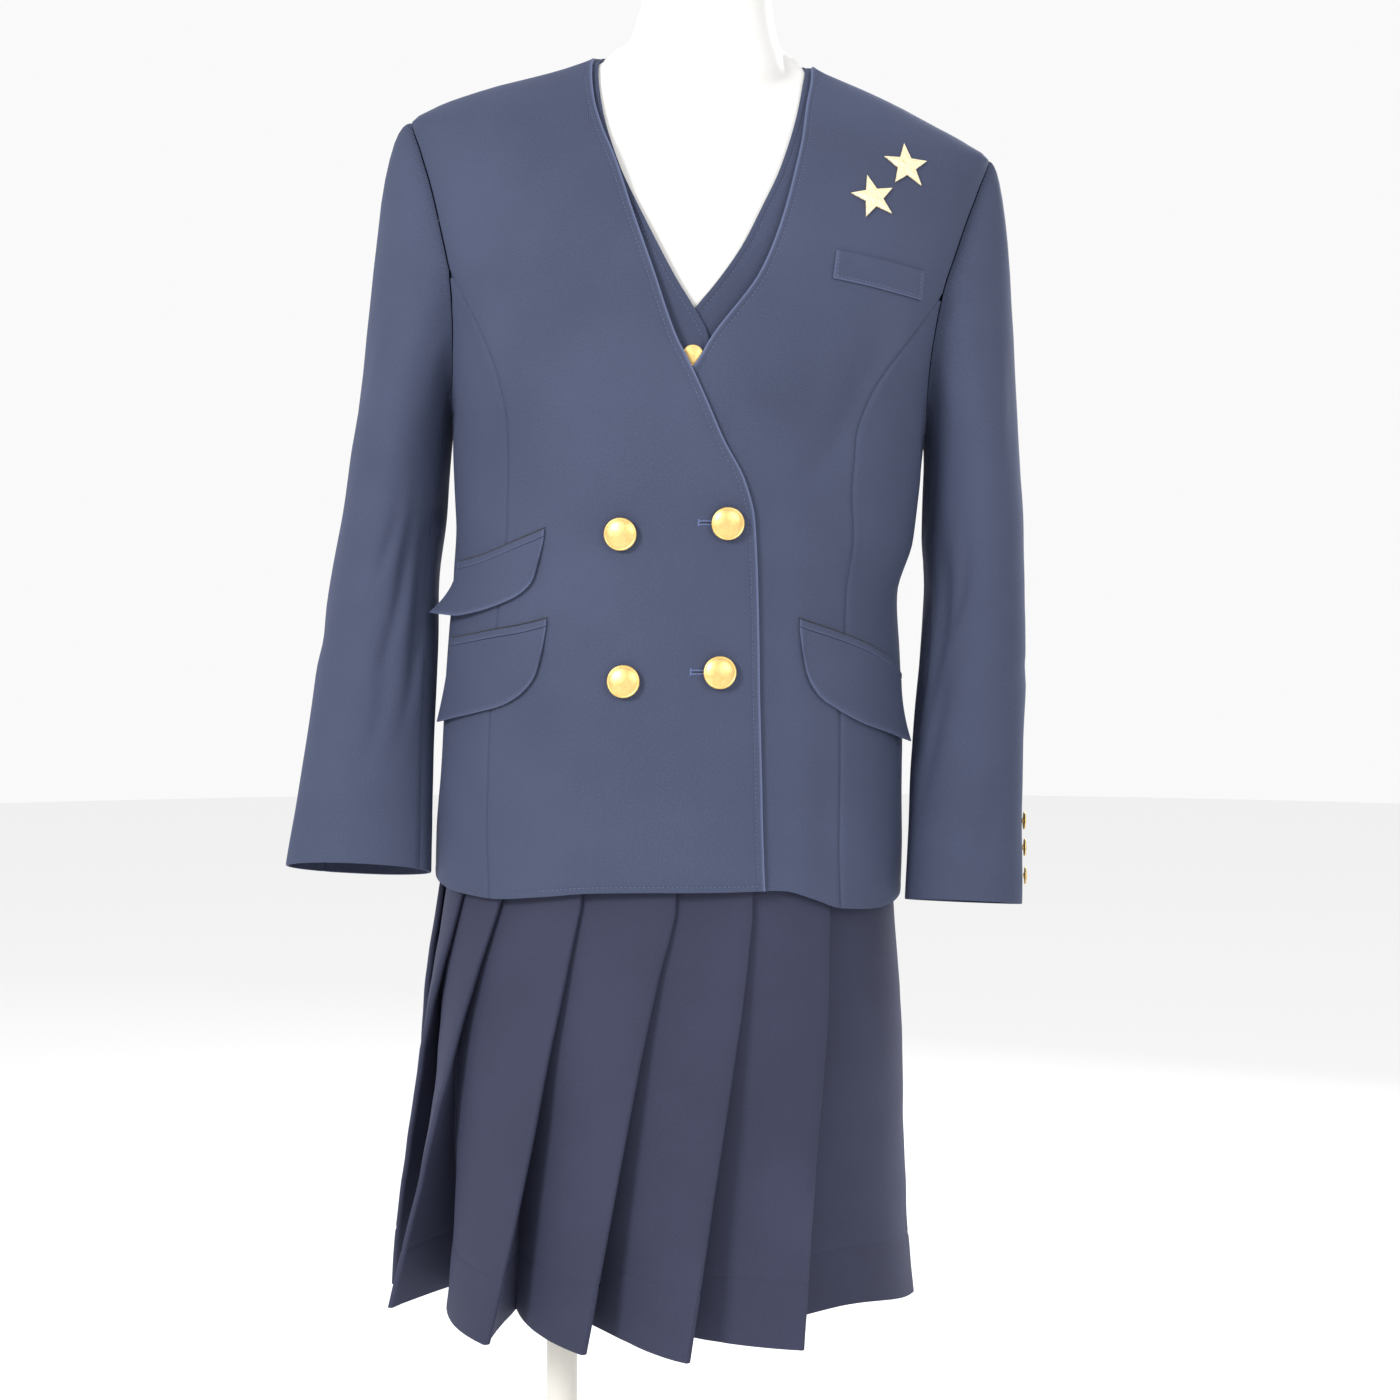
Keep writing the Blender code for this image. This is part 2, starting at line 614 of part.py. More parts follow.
def sleeve_grid(name, side):
    """Rows of (outer, inner) pairs from the armhole down to the cuff."""
    sleeve = SLEEVES[name]
    loop, normals = armhole_loop(side)
    angles = sleeve_angles(loop)
    middle = sum(loop, Vector()) / len(loop)
    first, first_inside = [], []
    outer_rows = [[] for _ in CAP_STEPS]
    for i, (point, normal) in enumerate(zip(loop, normals)):
        along = loop[(i + 1) % len(loop)] - loop[i - 1]
        inward = along.cross(normal).normalized()
        if inward.dot(middle - point) < 0:
            inward.negate()
        start = point + inward * SEAM_GAP
        first.append(start)
        first_inside.append(start + inward * BLAZER_WALL)
        share = (1 + math.cos(math.radians(angles[i]))) / 2
        reach = ARMPIT_REACH + (CAP_REACH[name] - ARMPIT_REACH) * share
        top, below = SLEEVE_HEIGHTS[name][:2]
        end = sleeve_point(sleeve, side, angles[i], top)
        rise = (end - sleeve_point(sleeve, side, angles[i], below)).normalized()
        handles = start + normal * reach, end + rise * (0.42 * (end - start).length)
        for row, t in zip(outer_rows, CAP_STEPS):
            row.append(
                start * (1 - t) ** 3 + handles[0] * (3 * t * (1 - t) ** 2)
                + handles[1] * (3 * t * t * (1 - t)) + end * t ** 3
            )
    for height in SLEEVE_HEIGHTS[name]:
        outer_rows.append([sleeve_point(sleeve, side, angle, height) for angle in angles])
    grid = [list(zip(first, first_inside))]
    count = len(loop)
    for r in range(1, len(outer_rows)):
        above, below = outer_rows[r - 1], outer_rows[min(r + 1, len(outer_rows) - 1)]
        row = outer_rows[r]
        pairs = []
        for c in range(count):
            around = row[(c + 1) % count] - row[c - 1]
            out = around.cross(below[c] - above[c]).normalized() * side
            pairs.append((row[c], row[c] - out * BLAZER_WALL))
        grid.append(pairs)
    return grid, angles


def build_sleeves(cloth, brass, tilt):
    for name, side in (("right", -1), ("left", 1)):
        grid, angles = sleeve_grid(name, side)
        front = min(range(len(angles)), key=lambda i: abs(angles[i] - SLEEVE_FRONT_SEAM))
        back = min(range(len(angles)), key=lambda i: abs(angles[i] - SLEEVE_BACK_SEAM))
        top = [*range(back, len(angles)), *range(front + 1)]
        under = [*range(front, back + 1)]
        for piece, columns in (("top", top), ("under", under)):
            rows = [trim_row([row[c] for c in columns]) for row in grid]
            make_wall(f"sleeve_{piece}_{name}", rows, cloth, tilt, mirrored=side < 0)
        for number, height in enumerate(CUFF_BUTTON_HEIGHTS, 1):
            around = CUFF_BUTTON_ANGLE[name]
            here = sleeve_point(SLEEVES[name], side, around, height)
            ahead = sleeve_point(SLEEVES[name], side, around + 2, height)
            above = sleeve_point(SLEEVES[name], side, around, height + 2)
            out = (ahead - here).cross(here - above).normalized() * side
            make_button(f"cuff_button_{name}_{number}", here + out * LIE_GAP, out, CUFF_BUTTON_RADIUS, brass, tilt)


def make_button(name, foot, axis, radius, brass, tilt):
    large = radius == FRONT_BUTTON_RADIUS
    profile = BUTTON_PROFILE if large else SMALL_BUTTON_PROFILE
    crown = BUTTON_CROWN if large else SMALL_BUTTON_CROWN
    rows = [(r * radius, h * radius) for r, h in profile + [(0.15, crown)]]
    turned(name, rows, 14 if large else 9, brass, foot, axis, tilt)


def build_front_buttons(brass, tilt):
    for name, (x, height) in FRONT_BUTTONS.items():
        angle = angle_at(x, height)
        foot = lifted_point(angle, height, LIE_GAP)
        make_button(name, foot, body_normal(angle, height), FRONT_BUTTON_RADIUS, brass, tilt)


def patch_grid(side, rows, steps, wall, drop=None):
    """Rows of pairs for a patch that lies on the front: columns of a table, from its lower edge up."""
    grid = []
    last = rows["lift"].keys[-1]
    for step in range(steps + 1):
        t = 1 - step / steps
        row = []
        for half in range(round(last / PATCH_STEP) + 1):
            column = half * PATCH_STEP
            top = rows["top_x"](column), rows["top_height"](column)
            bottom = rows["bottom_x"](column), rows["bottom_height"](column)
            if drop is not None:
                bottom, top = (top[0], top[1] + SEAM_GAP), (top[0], top[1] + SEAM_GAP + drop)
            x = top[0] + (bottom[0] - top[0]) * t
            height = top[1] + (bottom[1] - top[1]) * t
            angle = angle_at(side * x, height)
            out = LIE_GAP + (0.0 if drop is not None else rows["lift"](column) * t * t)
            row.append((lifted_point(angle, height, out + wall), lifted_point(angle, height, out)))
        grid.append(row)
    return grid


def build_pockets(cloth, tilt):
    for name, (side, rows) in FLAPS.items():
        flap = patch_grid(side, rows, FLAP_STEPS, FLAP_WALL)
        jet = patch_grid(side, rows, 1, JET_WALL, drop=JET_HEIGHT)
        make_wall(name, flap, cloth, tilt, mirrored=side < 0)
        make_wall(name.replace("flap", "jet"), jet, cloth, tilt, mirrored=side < 0)
    make_wall("breast_welt", patch_grid(1, BREAST_WELT, 2, JET_WALL), cloth, tilt)


def build_stars(gold, tilt):
    for name, (x, height, first) in STARS.items():
        def on_cloth(across, up, out):
            level = height + up
            return lifted_point(angle_at(x + across, level), level, out)

        outline = []
        for i in range(10):
            radius = STAR_RADIUS * (STAR_WAIST if i % 2 else 1.0)
            turn = math.radians(first - 36 * i)
            outline.append((radius * math.cos(turn), radius * math.sin(turn)))
        points = [on_cloth(*place, LIE_GAP + STAR_WALL) for place in outline]
        points += [on_cloth(*place, LIE_GAP) for place in outline]
        points += [on_cloth(0, 0, LIE_GAP + STAR_WALL + STAR_CROWN), on_cloth(0, 0, LIE_GAP)]
        faces = []
        for i in range(10):
            j = (i + 1) % 10
            faces += [[20, j, i], [21, 10 + i, 10 + j], [i, j, 10 + j, 10 + i]]
        make_object(name, points, faces, gold, tilt)


# ---- Vest -------------------------------------------------------------------------------------------------

def build_vest(cloth, brass, tilt):
    def armhole(side, column):
        def seam(height):
            return side * (VEST_ARMHOLE[column](height) if height > VEST_ARMPIT else SIDE_SEAM)
        return seam

    def edge(column):
        return lambda height: angle_at(VEST_EDGE[column](height), height, VEST_DEPTH(height))

    def lift(x, _height):
        return (VEST_WALL + VEST_OVERLAP_GAP) * smoothstep((x + 50) / 25)

    def level(angle, height):
        return max(blazer_level(angle, height), height - BACK_NECK_DIP)

    def panel(name, left, right, columns, raise_by=flat):
        make_panel(name, VEST_HEIGHTS, left, right, columns, VEST_WALL, cloth, tilt, VEST_DEPTH, raise_by, level)

    panel("vest_front_right", armhole(-1, "front"), edge("over"), 8, lift)
    panel("vest_front_left", edge("under"), armhole(1, "front"), 8)
    panel("vest_back", lambda height: armhole(1, "back")(height), lambda height: 360 - armhole(1, "back")(height), 12)
    for number, height in enumerate(VEST_BUTTON_HEIGHTS, 1):
        depth = VEST_DEPTH(height)
        angle = angle_at(VEST_BUTTON_X, height, depth)
        foot = lifted_point(angle, height, lift(VEST_BUTTON_X, height) + LIE_GAP, depth)
        make_button(f"vest_button_{number}", foot, body_normal(angle, height, depth), VEST_BUTTON_RADIUS, brass, tilt)


# ---- Skirt ------------------------------------------------------------------------------------------------

def pleat_angle(pleat, height):
    share = (BLAZER_HEM - height) / (BLAZER_HEM - SKIRT_HEIGHTS[0])
    return pleat[0] + (pleat[1] - pleat[0]) * max(share, 0.0)


def skirt_section(height):
    """The cloth's middle line at one height: out to each fold, back under it, and on to the next fold."""
    line = []
    underlay, depth = SKIRT["underlay"](height), SKIRT["pleat_depth"](height)
    drop = max((BLAZER_HEM - height) / (BLAZER_HEM - SKIRT_HEIGHTS[0]), 0.0)
    room = min(FOLD_ROOM + FOLD_OPENING * (depth - SKIRT["pleat_depth"](SKIRT_HEIGHTS[-1])), FOLD_ROOM_MOST)

    def place(angle, behind):
        inset = SKIRT_WALL / 2 + behind
        sizes = [SKIRT[column](height) - inset for column in ("half_width", "front", "back")]
        point = section_point(angle, height, *sizes, BODY["centre"](height), SKIRT["power"](height))
        around = angle if angle > -180 else angle + 360
        point.z += drop * (SKIRT_HEM_RISE * point.x + SKIRT_HEM(around) + FOLD_RISE * behind)
        return point

    for before, pleat in zip([PLEATS[-1]] + PLEATS[:-1], PLEATS):
        turn = 360 if before is PLEATS[-1] else 0
        start = pleat_angle(before, height) - turn - underlay
        end = pleat_angle(pleat, height)
        count = round((pleat[0] - before[0] + turn + underlay) / PLEAT_STEP) if turn else 3
        over_layer = 1 - underlay / 2 / (end - start)
        for share in sorted([i / count for i in range(count + 1)] + [over_layer]):
            line.append(place(start + (end - start) * share, depth * (1 - share)))
        line.append(place(end, room))
        line.append(place(end - underlay / 2, depth / 2))
        line.append(place(end - underlay, depth - room))
    return line


def offset_line(line, out):
    """A closed line moved sideways, with mitred corners."""
    moved = []
    for i, point in enumerate(line):
        before, after = (point - line[i - 1]), (line[(i + 1) % len(line)] - point)
        sides = [Vector((run.y, -run.x, 0)).normalized() for run in (before, after)]
        mitre = (sides[0] + sides[1]).normalized()
        moved.append(point + mitre * (out / max(mitre.dot(sides[0]), 0.45)))
    return moved


def build_skirt(cloth, tilt):
    grid = []
    for height in SKIRT_HEIGHTS:
        line = skirt_section(height)
        grid.append(list(zip(offset_line(line, SKIRT_WALL / 2), offset_line(line, -SKIRT_WALL / 2))))
    make_wall("skirt_pleated", grid, cloth, tilt, closed=True)
    band = []
    for height in WAISTBAND:
        angles = [360 * i / FORM_COLUMNS for i in range(FORM_COLUMNS)]
        band.append([
            (lifted_point(angle, height, REST_GAP + BAND_WALL, 1), lifted_point(angle, height, REST_GAP, 1))
            for angle in angles
        ])
    make_wall("skirt_waistband", band, cloth, tilt, closed=True)


# ---- Dress form and stand ---------------------------------------------------------------------------------

def stacked_solid(name, rings, material, tilt):
    """A closed solid through rings of equal length, from the bottom up."""
    sides = len(rings[0])
    points = [point for ring in rings for point in ring]
    faces = [list(range(sides))[::-1], [(len(rings) - 1) * sides + i for i in range(sides)]]
    for r in range(len(rings) - 1):
        for c in range(sides):
            d = (c + 1) % sides
            faces.append([r * sides + c, r * sides + d, (r + 1) * sides + d, (r + 1) * sides + c])
    return make_object(name, points, faces, material, tilt)


def build_form(shell, wood, tilt):
    angles = [360 * i / FORM_COLUMNS for i in range(FORM_COLUMNS)]
    rings = []
    for height in FORM_HEIGHTS:
        ring = [body_point(angle, height, 1) for angle in angles]
        for point in ring:
            point.x = min(max(point.x, -ARM_PLATE), ARM_PLATE)
        rings.append(ring)
    torso = stacked_solid("form_torso", rings, shell, tilt)
    sizes = ("half_width", "front", "back")
    column = [
        [section_point(angle, height, *[NECK[size](height) for size in sizes], power=1.0) for angle in angles]
        for height in NECK_HEIGHTS
    ]
    neck = stacked_solid("neck_guide", column, shell, tilt)
    neck.hide_render = True
    neck.display_type = "WIRE"
    join = torso.modifiers.new("neck", "BOOLEAN")
    join.operation = "UNION"
    join.object = neck
    top = Vector((0, 0, NECK_HEIGHTS[-1] + SEAM_GAP))
    turned("neck_cap", NECK_CAP, RING_SIDES, wood, top, parent=tilt)


def build_stand(metal, tilt):
    lean = math.radians(LEAN)
    below = FORM_BOTTOM - LEAN_HEIGHT

    def form_underside(x):
        """The height of the form's leaning underside above the floor."""
        across = (x - below * math.sin(lean)) / math.cos(lean)
        return LEAN_HEIGHT - across * math.sin(lean) + below * math.cos(lean)

    plate = [(BASE_RADIUS, 0), (BASE_RADIUS, BASE_THICKNESS - BASE_EDGE),
             (BASE_RADIUS - BASE_EDGE, BASE_THICKNESS)]
    turned("stand_base", plate, BASE_SIDES, metal, Vector())
    foot = Vector((POLE_X, 0, BASE_THICKNESS + SEAM_GAP))
    boss = [(BOSS_RADIUS, 0), (BOSS_RADIUS, BOSS_HEIGHT - 3), (BOSS_RADIUS - 3, BOSS_HEIGHT)]
    turned("stand_boss", boss, RING_SIDES, metal, foot, hole=POLE_RADIUS + SEAM_GAP)
    rings = [profile_ring(POLE_RADIUS, 0, POLE_SIDES), profile_ring(POLE_RADIUS, 0, POLE_SIDES)]
    for point in rings[0]:
        point += foot
    for point in rings[1]:
        point.x += POLE_X
        point.z = form_underside(point.x) - SEAM_GAP
    stacked_solid("stand_pole", rings, metal, None)
    across = (POLE_X - below * math.sin(lean)) / math.cos(lean)
    seat = Vector((across, 0, FORM_BOTTOM - SEAM_GAP - SOCKET_HEIGHT))
    ring = [(SOCKET_RADIUS, 0), (SOCKET_RADIUS, SOCKET_HEIGHT)]
    turned("form_socket", ring, RING_SIDES, metal, seat, parent=tilt, hole=POLE_RADIUS + SOCKET_ROOM)


def main():
    for piece in list(bpy.data.objects):
        bpy.data.objects.remove(piece, do_unlink=True)
    navy = make_material("navy wool twill", (0.025, 0.04, 0.11), 0.85)
    skirt_navy = make_material("dark navy wool twill", (0.025, 0.028, 0.085), 0.85)
    brass = make_material("matt gold button metal", (0.75, 0.5, 0.18), 0.45, 0.9)
    gold = make_material("gold star cloth", (0.8, 0.62, 0.28), 0.5, 0.3)
    shell = make_material("white form shell", (0.85, 0.85, 0.84), 0.55)
    wood = make_material("pale wood", (0.7, 0.58, 0.4), 0.6)
    metal = make_material("cream enamel", (0.82, 0.81, 0.77), 0.35)

    tilt = bpy.data.objects.new("form_lean", None)
    bpy.context.scene.collection.objects.link(tilt)
    tilt.location.z = LEAN_HEIGHT * MM
    tilt.rotation_euler.y = math.radians(LEAN)

    build_form(shell, wood, tilt)
    build_stand(metal, tilt)
    build_blazer_body(navy, tilt)
    build_sleeves(navy, brass, tilt)
    build_pockets(navy, tilt)
    build_stars(gold, tilt)
    build_front_buttons(brass, tilt)
    build_vest(navy, brass, tilt)
    build_skirt(skirt_navy, tilt)


main()
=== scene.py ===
"""The finished school uniform: a navy worsted blazer, vest and knife-pleated skirt on a white dress form.

Tables and lengths are in millimetres, and repeat the part's own. +X is the wearer's left, -Y is the front
and +Z is up. Angles go round the body in degrees: 0 at the centre front, 90 at the wearer's left side and
180 at the centre back. The garments and the form are drawn upright, and then leaned a little sideways on the
pole."""

import math
from bisect import bisect_right
from itertools import accumulate

import bpy
import numpy as np
from mathutils import Matrix, Vector, noise


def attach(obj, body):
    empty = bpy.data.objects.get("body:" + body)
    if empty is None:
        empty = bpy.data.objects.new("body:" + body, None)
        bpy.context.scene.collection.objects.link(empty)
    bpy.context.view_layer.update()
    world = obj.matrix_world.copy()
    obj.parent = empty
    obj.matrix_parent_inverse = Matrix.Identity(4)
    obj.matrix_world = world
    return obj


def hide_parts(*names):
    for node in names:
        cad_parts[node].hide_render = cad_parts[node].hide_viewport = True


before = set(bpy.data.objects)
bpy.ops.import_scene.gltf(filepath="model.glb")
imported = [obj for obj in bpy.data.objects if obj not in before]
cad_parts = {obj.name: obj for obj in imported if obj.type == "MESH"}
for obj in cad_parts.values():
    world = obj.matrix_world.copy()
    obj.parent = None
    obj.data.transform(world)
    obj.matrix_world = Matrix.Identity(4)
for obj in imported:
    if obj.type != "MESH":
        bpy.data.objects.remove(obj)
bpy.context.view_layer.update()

MM = 0.001

# The lean of the form on its pole: the top goes towards +X about a line through this height.
LEAN = 2.5
LEAN_HEIGHT = 955.0

# Cloth walls and the room between pieces.
BLAZER_WALL = 2.0
VEST_WALL = 1.5
SKIRT_WALL = 1.5
BAND_WALL = 2.0
FLAP_WALL = 1.8
SEAM_GAP = 0.34
LIE_GAP = 0.65
OVERLAP_GAP = 1.1
VEST_OVERLAP_GAP = 0.9
REST_GAP = 0.5

# Angles of the straight seams.
SIDE_SEAM, BACK_SEAM, SHOULDER_SEAM = 95.0, 180.0, 90.0


class Track:
    """A smooth curve through (key, value) rows that never swings past the rows beside it."""

    def __init__(self, keys, values):
        self.keys, self.values = keys, values
        slopes = [
            (after - before) / (key_after - key)
            for key, key_after, before, after in zip(keys, keys[1:], values, values[1:])
        ]
        inner = [0.0 if a * b <= 0 else 2 * a * b / (a + b) for a, b in zip(slopes, slopes[1:])]
        self.tangents = [slopes[0], *inner, slopes[-1]]

    def __call__(self, at):
        at = min(max(at, self.keys[0]), self.keys[-1])
        i = min(bisect_right(self.keys, at) - 1, len(self.keys) - 2)
        span = self.keys[i + 1] - self.keys[i]
        t = (at - self.keys[i]) / span
        rise = t * t * (3 - 2 * t)
        start = t * (1 - t) ** 2 * span * self.tangents[i]
        end = t * t * (t - 1) * span * self.tangents[i + 1]
        return self.values[i] * (1 - rise) + self.values[i + 1] * rise + start + end


def table(columns, rows):
    """A Track for each named column of a table, with its first column as the key."""
    rows = sorted(rows)
    keys = [float(row[0]) for row in rows]
    names = columns.split()
    return {name: Track(keys, [float(row[i]) for row in rows]) for i, name in enumerate(names) if i}


# The blazer's outside, as horizontal sections from below its hem to the neck. The last rows close in along
# the shoulder line, from the padded shoulder point at 1364 to the side of the neck.
BODY = table("height half_width front back centre", [
    (745, 168, 139, 117, 0),
    (817, 170, 141, 118, 0),
    (860, 170.3, 138, 116, -0.5),
    (900, 169, 135, 112, -1),
    (950, 167, 131, 105, -1.5),
    (1000, 164, 129, 99, -3),
    (1040, 161.5, 128, 97, -4),
    (1080, 166, 129.5, 99, 1),
    (1130, 170, 134, 105, 1),
    (1180, 173, 137, 111, 0),
    (1230, 180, 131, 115, 0),
    (1280, 189, 118, 112, 0),
    (1315, 196.5, 101, 105, 0),
    (1340, 203, 83, 96, 0),
    (1364, 208, 62, 84, 0),
    (1373, 195, 54, 80, 0),
    (1379, 183, 49, 77, 0),
    (1385, 167, 44, 73, 0),
    (1392, 147, 38.5, 69, 0),
    (1398.5, 126, 33, 65, 0),
    (1405, 106, 26.5, 60, 0),
    (1411, 90, 19.5, 56, 0),
    (1416, 80, 14, 52, 0),
    (1424, 62, 6, 44, 0),
])
SECTION_POWER = 0.87

# How much smaller the form is than the blazer, beside its own drop under the blazer's shoulders.
AIR = table("height side front back", [
    (745, 13, 20, 14),
    (817, 14.5, 19, 14.5),
    (860, 15.5, 17.5, 14.5),
    (900, 18.5, 19.5, 15),
    (950, 27, 27, 18),
    (1000, 37, 36, 18),
    (1040, 40, 39, 18),
    (1080, 36, 34, 18),
    (1130, 27, 24, 16),
    (1180, 21, 15, 13),
    (1230, 20, 12, 11),
    (1280, 22, 10, 9),
    (1315, 23, 8, 7),
    (1340, 25, 6, 5),
    (1364, 22, 5, 4),
    (1373, 13, 4, 3),
    (1385, 3, 3, 3),
    (1392, 0, 2.5, 2.5),
    (1424, 0, 2.5, 2.5),
])
FORM_DROP = 5.7

# Where the vest's outside lies between the blazer's outside (0) and the form (1).
VEST_DEPTH = table("height depth", [
    (985, 0.285), (1035, 0.4), (1060, 0.44), (1150, 0.68), (1200, 0.78),
    (1240, 0.72), (1300, 0.58), (1340, 0.55),
    (1424, 0.55),
])["depth"]

# The rows of every blazer panel, so that seams meet point by point.
BLAZER_HEM = 817
ARMPIT = 1152
PRINCESS_TOP = 1256
SIDE_FRONT_TOP = 1250
SHOULDER_POINT = 1364
NECK_TOP = 1416
ARM_HEIGHTS = [
    ARMPIT, 1158, 1170, 1190, 1220, SIDE_FRONT_TOP, PRINCESS_TOP, 1287, 1318, 1342, 1356, SHOULDER_POINT,
]
LOW_HEIGHTS = [BLAZER_HEM, 855, 895, 938, 980, 1014, 1045, 1082, 1118]
TOP_HEIGHTS = [1373, 1383, 1392, 1400, 1407, NECK_TOP]

# Seam lines, as angles at each height.
ARMHOLE = table("height right left back", [
    (ARMPIT, 95, 95, 95),
    (1158, 87, 88, 100),
    (1170, 81, 82, 104),
    (1190, 76, 77.5, 107.5),
    (1220, 71, 73.5, 110.5),
    (PRINCESS_TOP, 69, 72.5, 112),
    (1287, 71.5, 75, 111.5),
    (1318, 74.5, 77.5, 108.5),
    (1342, 78.5, 80.5, 104),
    (1356, 83.5, 84.5, 98),
    (SHOULDER_POINT, 90, 90, 90),
])
PRINCESS = table("height right left", [
    (BLAZER_HEM, 44.1, 42.8),
    (870, 45.8, 41.9),
    (953, 47.4, 41.9),
    (1036, 46.8, 45.1),
    (1078, 45.6, 42.8),
    (1119, 44.7, 39.9),
    (1146, 44.6, 40.1),
    (1174, 46.7, 43.6),
    (1206, 52, 51.5),
    (1235, 60.6, 63),
    (PRINCESS_TOP, 69, 72.5),
])

# Free front edges, as the distance from the centre line: the right front lies on top of the left.
BLAZER_EDGE = table("height over under", [
    (BLAZER_HEM, 68, -66),
    (966, 58.6, -58),
    (1089, 49.6, -50),
    (1116, 41.6, -43),
    (1143, 26, -29),
    (1172, 11.9, -12),
    (1198, -1.5, 6),
    (1211, -9, 12.9),
    (1260, -28.3, 45.8),
    (1297, -43, 58.8),
    (1338, -58.5, 67.9),
    (1358.5, -67.9, 71.5),
    (1384, -76.2, 74.1),
    (1406, -79.5, 77.4),
    (NECK_TOP, -80, 78),
])
VEST_EDGE = table("height over under", [
    (985, 16, -15),
    (1195, 15.5, -14.5),
    (1213, 12.1, -9),
    (1231.7, 1.7, 1.7),
    (1250, -10.7, 15.5),
    (1277, -26.5, 32.5),
    (1305, -41.7, 45),
    (1333, -55.5, 56.4),
    (1374, -69.5, 67.2),
    (1404, -75, 72),
    (NECK_TOP, -76, 74),
])
VEST_HEIGHTS = [
    985, 1036, 1080, 1125, 1160, 1195, 1213, 1232, 1260, 1300, 1342, 1364, 1383, 1392, 1400, 1407, NECK_TOP,
]
VEST_ARMHOLE = table("height front back", [
    (1125, 95, 95),
    (1160, 80, 106),
    (1195, 71, 112),
    (1232, 63, 116),
    (1287, 57, 119),
    (1342, 58, 118),
    (1364, 61, 115),
    (1383, 70, 106),
    (1396, 90, 90),
])

# The blazer's hem kicks up a little at the fronts.
HEM = table("angle height", [
    (-180, 815), (-90, 823), (-72, 820), (-60, 818), (-45, 818), (-27, 823.5), (-15, 828.5), (8, 833),
    (25, 835), (34, 829), (43, 822), (60, 819.5), (90, 824), (180, 815),
])["height"]
HEM_BLEND = 885
BACK_NECK_DIP, SIDE_NECK_RISE = 14.0, 4.0
BACK_NECK_BLEND = 1340

# The wearer's left shoulder hangs a little lower.
LOW_SHOULDER_DROP = 9.0
LOW_SHOULDER_X, LOW_SHOULDER_START, LOW_SHOULDER_BLEND = 100.0, 1235.0, 100.0

# The left front sinks under the right front, and is level again this far past the right front's edge.
OVERLAP_MARGIN, OVERLAP_BLEND = 9.0, 23.0
OVERLAP_TOP, OVERLAP_END = 1215.0, 1290.0

SLEEVE_COLUMNS = "height inner outer middle half_depth slope turn"
SLEEVES = {
    "right": table(SLEEVE_COLUMNS, [
        (827, 170, 274.5, -46, 25, 0.28, 0),
        (880, 172.5, 269, -32, 34, 0.26, 0),
        (935, 174, 264, -19, 44, 0.22, 0),
        (990, 175, 259.5, -7, 51, 0.15, 0),
        (1040, 176, 254, 1, 56, 0.08, 0),
        (1085, 173, 248, 5, 60, 0.03, 0),
        (1128, 171.8, 243, 6, 62, 0, 0),
    ]),
    "left": table(SLEEVE_COLUMNS, [
        (822, 171, 255.5, -43, 39, 0.15, 36),
        (880, 172, 253.8, -30, 44, 0.2, 30),
        (935, 173, 253, -17, 50, 0.2, 22),
        (990, 175.5, 253.5, -6, 55, 0.15, 14),
        (1040, 178, 250.5, 1, 58, 0.08, 8),
        (1085, 174, 248.5, 5, 61, 0.03, 3),
        (1128, 173.6, 243.5, 6, 62, 0, 0),
    ]),
}
SLEEVE_HEIGHTS = {
    "right": [1128, 1075, 1020, 955, 890, 827],
    "left": [1128, 1075, 1020, 955, 890, 822],
}
CAP_REACH = {"right": 26.0, "left": 17.0}
ARMPIT_REACH = 3.0
SLEEVE_FRONT_SEAM, SLEEVE_BACK_SEAM = 150.0, 300.0
CUFF_BUTTON_HEIGHTS = [842, 862, 881]
CUFF_BUTTON_ANGLE = {"right": 310.0, "left": 328.0}

# Flaps and their jets, as columns from the end near the centre front to the end at the side.
FLAP_COLUMNS = "column top_x top_height bottom_x bottom_height lift"
FLAPS = {
    "flap_ticket": (-1, table(FLAP_COLUMNS, [
        (0, 94.8, 1071.5, 97.5, 1056, 0),
        (1, 103, 1067.5, 101.5, 1041, 0),
        (2, 113, 1063, 110, 1031, 0),
        (3, 126, 1057, 124, 1023, 0.5),
        (4, 140, 1051, 141, 1016, 1.5),
        (5, 151, 1047, 155, 1012, 5),
        (6, 158.5, 1044.5, 164, 1012, 13.5),
    ])),
    "flap_right": (-1, table(FLAP_COLUMNS, [
        (0, 90.8, 1009.5, 93, 991, 0),
        (1, 100, 1006.5, 96.5, 976, 0),
        (2, 112, 1003, 105, 963, 0),
        (3, 127, 999.5, 119, 953, 0),
        (4, 143, 995, 139, 945.5, 0.3),
        (5, 155, 991.5, 155, 939.5, 1),
        (6, 161.5, 989.5, 165, 934.5, 3),
    ])),
    "flap_left": (1, table(FLAP_COLUMNS, [
        (0, 83.1, 1016.9, 85.5, 1001, 0),
        (1, 92, 1014, 89.5, 984.5, 0),
        (2, 104, 1010.5, 98, 970.5, 0),
        (3, 119, 1005.5, 112, 960.5, 0),
        (4, 136, 998.5, 131, 950.5, 0.3),
        (5, 150, 989, 149, 943, 1.5),
        (6, 159.5, 978.5, 161.5, 935.5, 6),
    ])),
}
JET_HEIGHT = 5.5
JET_WALL = 1.2
BREAST_WELT = table("column top_x top_height bottom_x bottom_height lift", [
    (0, 97, 1276.4, 95.2, 1256.8, 0),
    (1, 118, 1274.2, 116.5, 1254, 0),
    (2, 139, 1271.8, 137.8, 1251, 0),
    (3, 160, 1269, 159, 1247.6, 0),
])

STARS = {"star_upper": (145.4, 1345.5, 96.5), "star_lower": (122.2, 1317.3, 107.0)}
STAR_RADIUS, STAR_WAIST, STAR_WALL, STAR_CROWN = 16.3, 0.42, 1.0, 0.8

